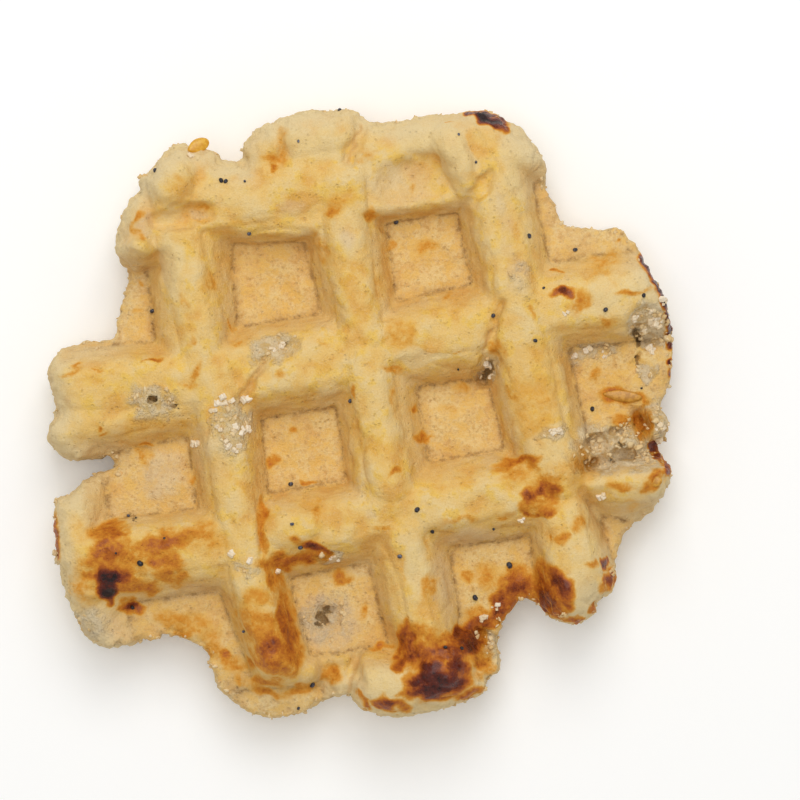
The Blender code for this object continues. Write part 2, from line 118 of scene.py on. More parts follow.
# Each pocket: its floor's corners from the back left, clockwise, its walls' widths in plan, its floor
POCKETS = {
    "back left": (
        [(-25.6, 33.9), (-11.2, 34.3), (-7.8, 20.1), (-24.4, 17.3)],
        (2.0, 3.8, 3.6, 4.0), WEB_TOP,
    ),
    "back middle": (
        [(5.2, 37.9), (19.2, 40.1), (22.2, 25.9), (7.4, 22.7)],
        (2.0, 3.4, 3.6, 3.8), WEB_TOP,
    ),
    "middle left": (
        [(-19.6, -1.1), (-4.8, 1.3), (-2.8, -13.5), (-18.2, -15.7)],
        (3.6, 3.0, 3.4, 3.0), WEB_TOP,
    ),
    "middle right": (
        [(11.4, 5.3), (25.4, 6.9), (28.8, -7.1), (13.8, -9.5)],
        (4.0, 3.2, 4.0, 4.6), WEB_TOP,
    ),
    "front left": (
        [(-14.0, -32.9), (1.6, -29.9), (5.6, -46.3), (-9.6, -48.3)],
        (3.6, 3.4, 4.0, 3.6), WEB_TOP,
    ),
    "front bay": (
        [(18.0, -26.9), (33.8, -24.5), (36.0, -46.0), (20.4, -43.0)],
        (3.6, 3.0, 3.0, 4.2), WEB_TOP,
    ),
    "right bay": (
        [(41.8, 12.7), (66.0, 15.5), (66.0, -6.4), (46.6, -10.2)],
        (3.4, 3.0, 2.6, 3.2), WEB_TOP,
    ),
    "right front bay": (
        [(47.8, -20.6), (66.0, -23.6), (66.0, -40.0), (51.4, -32.0)],
        (5.0, 3.0, 3.0, 2.4), WEB_TOP - 0.4,
    ),
    "back right bay": (
        [(34.6, 46.0), (64.0, 52.0), (64.0, 33.8), (37.8, 30.3)],
        (4.0, 3.0, 4.6, 3.0), WEB_TOP + 0.2,
    ),
    "left bay": (
        [(-54.0, 29.5), (-42.8, 29.5), (-41.0, 14.4), (-56.0, 13.4)],
        (2.5, 4.0, 3.4, 4.0), WEB_TOP,
    ),
    "left front bay": (
        [(-51.0, -8.4), (-34.4, -4.7), (-32.6, -18.9), (-50.0, -21.0)],
        (4.2, 3.0, 2.6, 5.0), WEB_TOP + 0.4,
    ),
    "front left bay": (
        [(-46.5, -38.0), (-28.2, -35.5), (-21.6, -52.6), (-40.0, -66.0)],
        (3.4, 2.6, 3.0, 5.0), WEB_TOP,
    ),
    "front rim": (
        [(-24.0, -55.3), (-8.0, -54.6), (-5.0, -68.0), (-32.0, -68.0)],
        (3.6, 3.6, 3.0, 3.6), WEB_TOP - 0.4,
    ),
}

# Domes, dents and tears: place, half length, half width, turn in degrees, and rise or depth
LUMPS = {
    "ball at the back left": (-37.8, 46.9, 4.9, 4.7, 0, 2.6),
    "knob under the ball": (-44.6, 37.4, 3.6, 4.6, 10, 1.6),
    "knob on the left bay": (-44.6, 31.3, 3.8, 3.4, 0, 5.0),
    "back lobe": (-11.0, 56.4, 8.0, 5.6, -8, 1.4),
    "start of the right ridge": (19.2, 50.6, 3.0, 6.0, 20, 2.3),
    "back shoulder": (31.5, 50.0, 7.0, 9.0, 25, 0.9),
    "flat mass on the back ridge": (-17.0, 43.6, 11.0, 5.6, 10, 0.9),
    "front end of the middle column": (6.2, -12.4, 5.4, 8.6, 14, 1.1),
    "roll on the near ridge": (-13.2, -22.6, 5.6, 3.8, 5, 1.5),
    "tail of the left column": (-18.6, -43.4, 4.8, 10.4, 12, 0.9),
    "burnt knob at the front": (15.6, -53.2, 6.2, 4.4, 8, 1.6),
    "pale lobe at the front": (3.6, -54.2, 5.8, 4.8, 0, 0.8),
    "end of the right column": (44.0, -10.6, 3.4, 4.2, 10, 0.9),
    "near lobe of the right column": (42.6, -31.0, 5.0, 9.0, 12, 0.8),
    "torn crumb in the right bay": (51.0, -5.4, 7.4, 4.6, 8, 3.2),
    "torn crumb by the rim": (59.0, -2.2, 3.6, 3.6, 0, 4.4),
    "soft flap in the left front bay": (-38.6, -12.6, 4.2, 5.4, 0, 1.0),
    "rolled lip over the back left pocket": (-17.4, 35.0, 6.4, 1.3, 4, 1.4),
}
DENTS = {
    "low back ridge": (11.8, 46.6, 7.6, 5.2, 8, 2.6),
    "valley under the ball": (-35.6, 39.0, 6.4, 2.6, 12, 3.0),
    "notch behind the right column": (24.2, 44.8, 1.9, 4.2, -35, 1.6),
    "torn corner of the middle right pocket": (25.4, 8.6, 2.4, 3.6, -20, 3.2),
    "broken edge of the left cross": (-16.8, 13.2, 4.6, 2.8, 10, 1.6),
    "torn end of the middle ridge": (57.6, 17.0, 4.6, 4.2, -20, 2.8),
    "tear in the right bay": (55.8, -2.6, 2.2, 3.6, 5, 3.4),
    "broken floor at the front": (-7.0, -41.2, 3.4, 3.0, 20, 0.8),
    "tear in the right bay, left": (47.6, -5.6, 2.6, 1.5, 15, 2.6),
    "tear in the right bay, near": (52.6, -8.4, 2.2, 1.2, -20, 2.4),
    "tear in the right bay, far": (51.6, -3.2, 2.8, 1.0, 10, 2.0),
    "tear by the right column": (45.4, -10.2, 1.6, 1.2, 40, 1.8),
    "tear at the right rim": (59.6, -6.4, 1.6, 1.2, 0, 1.8),
    "dip before the front notch": (-4.4, -52.6, 5.0, 4.2, 0, 4.0),
    "low lobe at the front left": (-53.0, -42.6, 6.6, 5.6, 0, 3.6),
    "hollow by the front bay": (24.6, -47.6, 3.2, 4.6, 0, 3.4),
}
CREASES = {
    "left cross": ((-18.6, 10.7), (-23.8, 2.1), 0.9, 1.5),
    "right cross": ((28.4, 21.7), (24.6, 12.5), 0.9, 1.2),
    "left cross, near": ((-19.6, -17.5), (-19.6, -27.3), 0.9, 1.2),
    "back lobe, left": ((-15.4, 57.0), (-15.4, 49.6), 1.4, 1.4),
    "back lobe, right": ((0.2, 57.6), (-2.4, 50.0), 1.4, 1.7),
    "front notch": ((-2.2, -55.4), (-0.6, -49.0), 1.3, 2.0),
    "right column, near": ((45.0, -17.1), (49.2, -25.5), 0.9, 1.3),
    "left bay knob": ((-46.4, 28.4), (-40.4, 29.0), 1.0, 1.5),
}

# The raised middles of the ridges: the columns lie over the rows. Half width, crown and middle line
RIDGES = {
    "left column": (4.8, 2.0, [
        (-37.5, 46.0), (-34.6, 27.9), (-32.0, 18.7), (-26.4, -5.5), (-22.6, -26.0), (-16.4, -53.0),
    ]),
    "middle column": (4.6, 2.1, [(-3.4, 46.0), (-1.8, 28.7), (3.6, -1.3), (6.4, -13.6)]),
    "middle column, near": (4.6, 1.6, [(9.0, -24.0), (12.0, -31.0), (16.6, -50.0)]),
    "right column": (5.2, 2.1, [(19.4, 54.0), (26.0, 42.0), (28.6, 32.7), (35.6, -3.3), (40.6, -12.0)]),
    "right column, near": (5.2, 1.4, [(40.0, -22.0), (42.0, -32.0), (41.0, -38.0)]),
    "back row": (5.6, 0.9, [(-34.0, 41.0), (-16.0, 44.5), (-4.0, 46.5)]),
    "middle row, left": (5.2, 1.0, [(-60.0, 6.0), (-44.0, 6.2), (-28.0, 8.0)]),
    "middle row": (4.8, 1.0, [(-24.0, 3.0), (-8.0, 9.4), (8.0, 15.0), (24.0, 18.0)]),
    "middle row, right": (5.8, 0.9, [(34.0, 19.6), (46.0, 22.0), (60.0, 26.0)]),
    "near row, left": (5.4, 1.0, [(-58.0, -27.0), (-40.0, -26.6), (-24.0, -24.4)]),
    "near row": (5.0, 1.0, [(-20.0, -24.6), (-2.0, -21.4), (16.0, -18.4), (34.0, -14.0)]),
    "near row, right": (4.8, 0.8, [(44.0, -14.6), (60.0, -14.6)]),
}

# Layers of roughness: height and size of the bumps, and the seed of their noise
BUMPS = ((0.45, 6.5, 5), (0.32, 3.4, 6), (0.15, 1.6, 7))
RAGGED_RIM = ((0.5, 2.3, 21), (0.5, 1.1, 22))
TORN_WARP = (1.8, 2.8, 13)
TEAR_LEAST = 0.4
TEAR_GROWTH = 1.5
CHUNK_HEIGHT = 0.55
CHUNK_SIZE = 3.4
CRUMB_HEIGHT = 0.2
CRUMB_SIZE = 1.4
FOLD_HEIGHT = 0.14
FOLD_SIZE = 2.6
WRINKLE_SIZE = 7.0
WRINKLE_DEPTH = 0.2
SNAP_REACH = 1.2

# Small open holes, their insides darkened with painted shade: place, half length, half width, turn and depth
HOLES = [
    (-41.2, 2.7, 1.2, 0.6, 8, 3.0), (-37.2, 1.7, 0.6, 0.6, 0, 2.5), (55.4, 14.9, 0.8, 2.0, 10, 5.0),
    (55.2, 10.6, 0.5, 1.2, 8, 3.5), (55.8, -2.2, 1.5, 1.9, 0, 3.5), (-15.2, 13.3, 0.8, 0.4, 10, 1.6),
    (25.8, 8.9, 0.8, 1.5, -10, 1.4), (-7.6, -40.7, 1.0, 1.6, 25, 1.2), (-6.4, -39.3, 1.0, 0.8, -20, 1.0),
    (-8.4, -42.3, 0.7, 0.5, 0, 0.8), (25.0, 7.3, 0.7, 0.6, 0, 1.0), (52.0, -6.1, 0.5, 0.5, 0, 1.6),
    (50.4, -9.3, 0.5, 0.5, 0, 1.4), (-45.0, -20.9, 0.3, 0.3, 0, 1.0),
]


def curve_through(knots, steps):
    """Points on a smooth closed curve through the knots."""
    line = []
    for index in range(len(knots)):
        a, b, c, d = (np.array(knots[(index + shift) % len(knots)]) for shift in (-1, 0, 1, 2))
        for step in range(steps):
            t = step / steps
            bend = (2 * a - 5 * b + 4 * c - d) * t * t + (3 * b - a - 3 * c + d) * t**3
            line.append(0.5 * (2 * b + (c - a) * t + bend))
    return line


def noise_at(points, size, seed):
    """Smooth noise from -1 to 1 at each point, its lumps about as large as size, in millimetres."""
    shift = Vector((seed * 17.3, seed * 5.1, seed * 9.7))
    return np.array([noise.noise(Vector(point) / size + shift) for point in points])


def rough_with(points, layers):
    """The height of several layers of noise at each point."""
    return sum(height * noise_at(points, size, seed) for height, size, seed in layers)


def warped(points, reach, size, seed):
    """The points' places, each pushed sideways by noise, so that no patch is a clean oval."""
    push = np.column_stack((noise_at(points, size, seed), noise_at(points, size, seed + 1)))
    return points[:, :2] + reach * push


def soft_max(a, b, reach):
    blend = np.maximum(reach - np.abs(a - b), 0) / reach
    return np.maximum(a, b) + blend * blend * reach / 4


def soft_min(a, b, reach):
    return -soft_max(-a, -b, reach)


def wall_share(places, corners, walls):
    """How far up its walls a place is in a pocket: 0 on the floor, 1 at the top of the wall."""
    share = None
    for corner, following, wall in zip(corners, corners[1:] + corners[:1], walls):
        along = np.subtract(following, corner)
        outward = np.array((-along[1], along[0])) / np.hypot(*along)
        climb = (places - corner) @ outward / wall
        share = climb if share is None else soft_max(share, climb, 0.35)
    return share


def rounded_climb(share, edge):
    return soft_min(soft_max(share, np.zeros_like(share), 0.14), np.ones_like(share), edge)


def oval(places, x, y, half_length, half_width, turn):
    """1 at the middle of an oval, 0 at its edge and outside it."""
    angle = math.radians(turn)
    dx, dy = places[:, 0] - x, places[:, 1] - y
    along = (dx * math.cos(angle) + dy * math.sin(angle)) / half_length
    across = (dy * math.cos(angle) - dx * math.sin(angle)) / half_width
    return np.clip(1 - along * along - across * across, 0, 1)


def near_line(places, start, end, half_width):
    """1 on a line between two places, falling to 0 away from it."""
    along = np.subtract(end, start)
    share = np.clip((places - start) @ along / (along @ along), 0, 1)
    gap = places - (np.array(start) + share[:, None] * along)
    return np.exp(-(gap[:, 0] ** 2 + gap[:, 1] ** 2) / half_width**2)


def distance_to_ridge(places, ridge):
    """Distance from each place to a ridge's bent middle line."""
    gaps = []
    for start, end in zip(ridge, ridge[1:]):
        along = np.subtract(end, start)
        share = np.clip((places - start) @ along / (along @ along), 0, 1)
        gaps.append(np.hypot(*(places - (np.array(start) + share[:, None] * along)).T))
    return np.min(gaps, axis=0)


def top_height(places):
    """Height of the shown side before it rounds off at the rim."""
    height = np.full(len(places), RIDGE_BASE)
    for half_width, crown, line in RIDGES.values():
        gap = distance_to_ridge(places, line) / half_width
        height = np.maximum(height, RIDGE_BASE + crown * np.clip(1 - gap * gap, 0, 1) ** RIDGE_FULLNESS)
    for corners, walls, floor in POCKETS.values():
        climb = rounded_climb(wall_share(places, corners, walls), 0.75)
        height = np.minimum(height, floor + (height - floor) * climb)
    for x, y, half_length, half_width, turn, rise in LUMPS.values():
        dome = oval(places, x, y, half_length * LUMP_SPREAD, half_width * LUMP_SPREAD, turn)
        height = height + rise * dome * dome * (3 - 2 * dome)
    ragged = warped(np.column_stack((places, np.zeros(len(places)))), 1.0, 2.2, 31)
    for x, y, half_length, half_width, turn, depth in DENTS.values():
        dent = oval(ragged, x, y, half_length * LUMP_SPREAD, half_width * LUMP_SPREAD, turn)
        height = height - depth * dent * dent * (3 - 2 * dent)
    for start, end, half_width, depth in CREASES.values():
        height = height - depth * near_line(ragged, start, end, half_width)
    for x, y, half_length, half_width, turn, depth in HOLES:
        height = height - depth * np.sqrt(oval(ragged, x, y, half_length, half_width, turn))
    return np.maximum(height, WEB_BOTTOM + THINNEST_WEB)


def under_height(places):
    """Height of the underside: the same iron pattern, with every pocket whole."""
    depth = np.zeros(len(places))
    half_row, half_column = GRID_ROW / 2, GRID_COLUMN / 2
    shrink = 1 - (UNDER_RIDGE_HALF + UNDER_WALL) / np.hypot(*half_row)
    for row in range(-1, 4):
        for column in range(-1, 4):
            middle = GRID_START + (column + 0.5) * GRID_ROW + (row + 0.5) * GRID_COLUMN
            corners = [
                tuple(middle + shrink * (a * half_row + b * half_column))
                for a, b in ((-1, -1), (1, -1), (1, 1), (-1, 1))
            ]
            climb = rounded_climb(wall_share(places, corners, (UNDER_WALL,) * 4), 0.5)
            depth = np.maximum(depth, WEB_BOTTOM * (1 - climb))
    return depth


def distance_to_line(places, line):
    tree = KDTree(len(line))
    for index, (x, y) in enumerate(line):
        tree.insert((x, y, 0), index)
    tree.balance()
    return np.array([tree.find((x, y, 0))[2] for x, y in places])


def points_of(mesh):
    """The mesh's points in millimetres, one row each."""
    flat = np.empty(len(mesh.vertices) * 3)
    mesh.vertices.foreach_get("co", flat)
    return flat.reshape(-1, 3) / MM


def normals_of(mesh):
    flat = np.empty(len(mesh.vertices) * 3)
    mesh.vertices.foreach_get("normal", flat)
    return flat.reshape(-1, 3)


def set_points(mesh, points):
    mesh.vertices.foreach_set("co", (points * MM).ravel())
    mesh.update()


def set_active(thing):
    bpy.ops.object.select_all(action="DESELECT")
    thing.select_set(True)
    bpy.context.view_layer.objects.active = thing


def apply_modifiers(thing):
    set_active(thing)
    for modifier in list(thing.modifiers):
        bpy.ops.object.modifier_apply(modifier=modifier.name)


def mesh_evenly(thing, step):
    """Gives a closed shape a fine even mesh, with faces about step millimetres across."""
    cast = thing.modifiers.new("even mesh", "REMESH")
    cast.mode = "VOXEL"
    cast.voxel_size = step * MM
    apply_modifiers(thing)


rim_line = curve_through([place for stretch in RIM.values() for place in stretch], 6)
bpy.ops.mesh.primitive_circle_add(vertices=len(rim_line), radius=1, fill_type="NGON")
dough = bpy.context.object
dough.name = "dough"
for vertex, (x, y) in zip(dough.data.vertices, rim_line):
    vertex.co = (x * MM, y * MM, 0)
bpy.ops.object.mode_set(mode="EDIT")
bpy.ops.mesh.select_all(action="SELECT")
bpy.ops.mesh.extrude_region_move(TRANSFORM_OT_translate={"value": (0, 0, THICKNESS * MM)})
bpy.ops.mesh.select_all(action="SELECT")
bpy.ops.mesh.normals_make_consistent(inside=False)
bpy.ops.object.mode_set(mode="OBJECT")
dough_step = DOUGH_STEP
mesh_evenly(dough, dough_step)


def shown_height(places, rim_distance):
    """Height of the shown side, swollen a little and rounded off at the rim."""
    swell = noise_at(np.column_stack((places, np.full(len(places), SWELL_LAYER * SWELL_SIZE))), SWELL_SIZE, 0)
    return SEAM_HEIGHT + (top_height(places) + 0.5 * swell - SEAM_HEIGHT) * edge_share(rim_distance)


def edge_share(rim_distance):
    """How much of the height is left near the rim: all of it inside, a third at the very edge."""
    inset = np.clip(1 - rim_distance / EDGE_ROUNDING, 0, 1)
    return EDGE_UPRIGHT_SHARE + (1 - EDGE_UPRIGHT_SHARE) * np.sqrt(1 - inset * inset)


# The iron closes: each point of the blank goes to the height that the iron and the rising leave it
blank = points_of(dough.data)
places = blank[:, :2]
rim_distance = distance_to_line(places, curve_through(rim_line, 2))
top = shown_height(places, rim_distance)
bottom = SEAM_HEIGHT - (SEAM_HEIGHT - under_height(places)) * edge_share(rim_distance)
blank[:, 2] = bottom + (top - bottom) * blank[:, 2] / THICKNESS
set_points(dough.data, blank)
mesh_evenly(dough, dough_step)
relax = dough.modifiers.new("relax", "SMOOTH")
relax.factor = 0.5
relax.iterations = 1
apply_modifiers(dough)

# Torn crumb shows where the crust broke away: place, half length, half width, turn and strength
TORN_CRUMB = [
    (-41.0, 2.3, 4.6, 3.2, 0, 0.7), (-17.0, 13.3, 4.8, 2.4, 15, 0.8), (32.0, 27.5, 2.4, 3.4, 0, 0.4),
    (46.4, 12.3, 5.6, 1.6, 5, 0.6), (58.4, 17.5, 4.8, 3.6, -30, 1.0), (57.2, 8.3, 2.2, 1.8, 0, 0.9),
    (59.4, -2.3, 2.6, 3.8, 0, 0.9), (48.6, -6.9, 6.4, 4.2, 8, 1.0), (56.2, -8.3, 4.2, 2.8, 0, 0.9),
    (-54.6, -42.6, 4.2, 3.4, 15, 0.55), (-25.4, -1.3, 3.6, 3.8, 0, 0.7), (-25.4, -6.3, 2.4, 3.0, 0, 0.6),
    (25.6, 8.9, 1.8, 2.6, -15, 0.6), (-7.0, -41.2, 5.0, 4.6, 20, 0.5), (-6.2, -28.7, 2.0, 1.0, 0, 0.9),
    (38.6, -3.7, 2.6, 1.4, 10, 0.8), (24.4, -45.5, 2.6, 3.6, 0, 0.8), (-23.0, -30.4, 3.2, 1.4, -10, 0.6),
]
# Pale dough that the iron touched lightly
PALE_DOUGH = [
    (-37.6, 29.7, 2.6, 7.0, 0, 0.8), (-38.2, 38.3, 3.0, 1.8, 15, 0.5), (-2.0, 35.7, 3.4, 5.0, 10, 0.6),
    (14.0, 54.7, 7.5, 3.4, 5, 0.8), (19.2, 51.5, 3.2, 5.4, 16, 1.0), (4.0, -53.3, 5.4, 4.2, 0, 1.0),
    (43.4, -35.3, 4.4, 5.6, 0, 0.8), (48.2, 22.7, 3.4, 3.8, 0, 0.8), (12.0, 11.1, 5.6, 1.4, 5, 0.9),
    (11.0, -31.3, 2.6, 6.0, 12, 0.8), (0.2, -31.5, 2.6, 1.6, 0, 0.8), (8.0, -0.7, 2.4, 5.4, 10, 0.5),
    (36.4, -6.3, 2.8, 3.4, 0, 0.6), (-11.0, 55.5, 9.0, 5.0, -5, 0.7), (33.0, 50.0, 5.5, 9.0, 25, 0.8),
    (45.0, -24.0, 4.6, 8.0, 12, 0.5), (-50.0, -41.5, 9.0, 4.6, 0, 0.9), (-22.0, -56.5, 12.0, 3.2, -12, 0.9),
    (-52.0, -19.0, 7.0, 4.0, 10, 0.6), (44.0, 30.0, 8.0, 4.0, 0, 0.3), (54.0, 28.0, 5.0, 5.0, 0, 0.6),
    (-44.0, 47.0, 3.0, 3.0, 0, 0.8), (-34.0, 50.0, 6.0, 3.0, 15, 0.5), (-24.0, 45.0, 6.0, 5.0, 10, 0.5),
]
# Greyish and pinkish smudges, where the crust stayed soft
GREYED_DOUGH = [
    (-32.0, 39.7, 1.8, 1.2, 0, 0.9), (-2.4, 34.5, 1.2, 1.6, 0, 0.9), (8.0, 45.1, 6.4, 4.6, 5, 0.6),
    (-13.6, 41.1, 2.6, 1.6, 0, 0.6), (-39.6, -12.4, 3.6, 5.0, -25, 0.8), (-6.4, -41.7, 5.6, 5.0, 0, 1.0),
    (12.4, -5.5, 1.0, 1.0, 0, 0.8), (14.0, -56.3, 4.0, 1.2, 0, 0.7), (-43.0, 37.7, 1.6, 2.2, 0, 0.8),
    (31.6, 27.3, 2.2, 3.0, 0, 0.8), (54.0, -9.5, 6.0, 3.0, 0, 0.6), (16.4, -34.0, 1.8, 7.0, 10, 0.6),
    (-38.0, -35.8, 10.0, 1.6, 4, 0.5), (22.0, -24.5, 5.0, 1.4, 8, 0.6), (-52.0, -42.0, 4.0, 3.0, 0, 0.5),
    (29.0, 37.0, 1.2, 8.0, 10, 0.5), (2.4, -20.0, 1.0, 1.0, 0, 0.5), (-30.0, -8.0, 3.0, 6.0, 10, 0.4),
]
# The burnt lower edge that shows beyond the right rim, and the brown line down the left rim
BURNT_EDGES = [
    ((56.2, 31.0), (58.8, 27.0), 1.2), ((58.8, 27.0), (61.4, 21.0), 1.3), ((61.4, 21.0), (62.2, 13.6), 1.2),
    ((-60.9, -21.0), (-60.3, -28.4), 0.75), ((61.0, -8.6), (61.6, -11.6), 1.0),
]
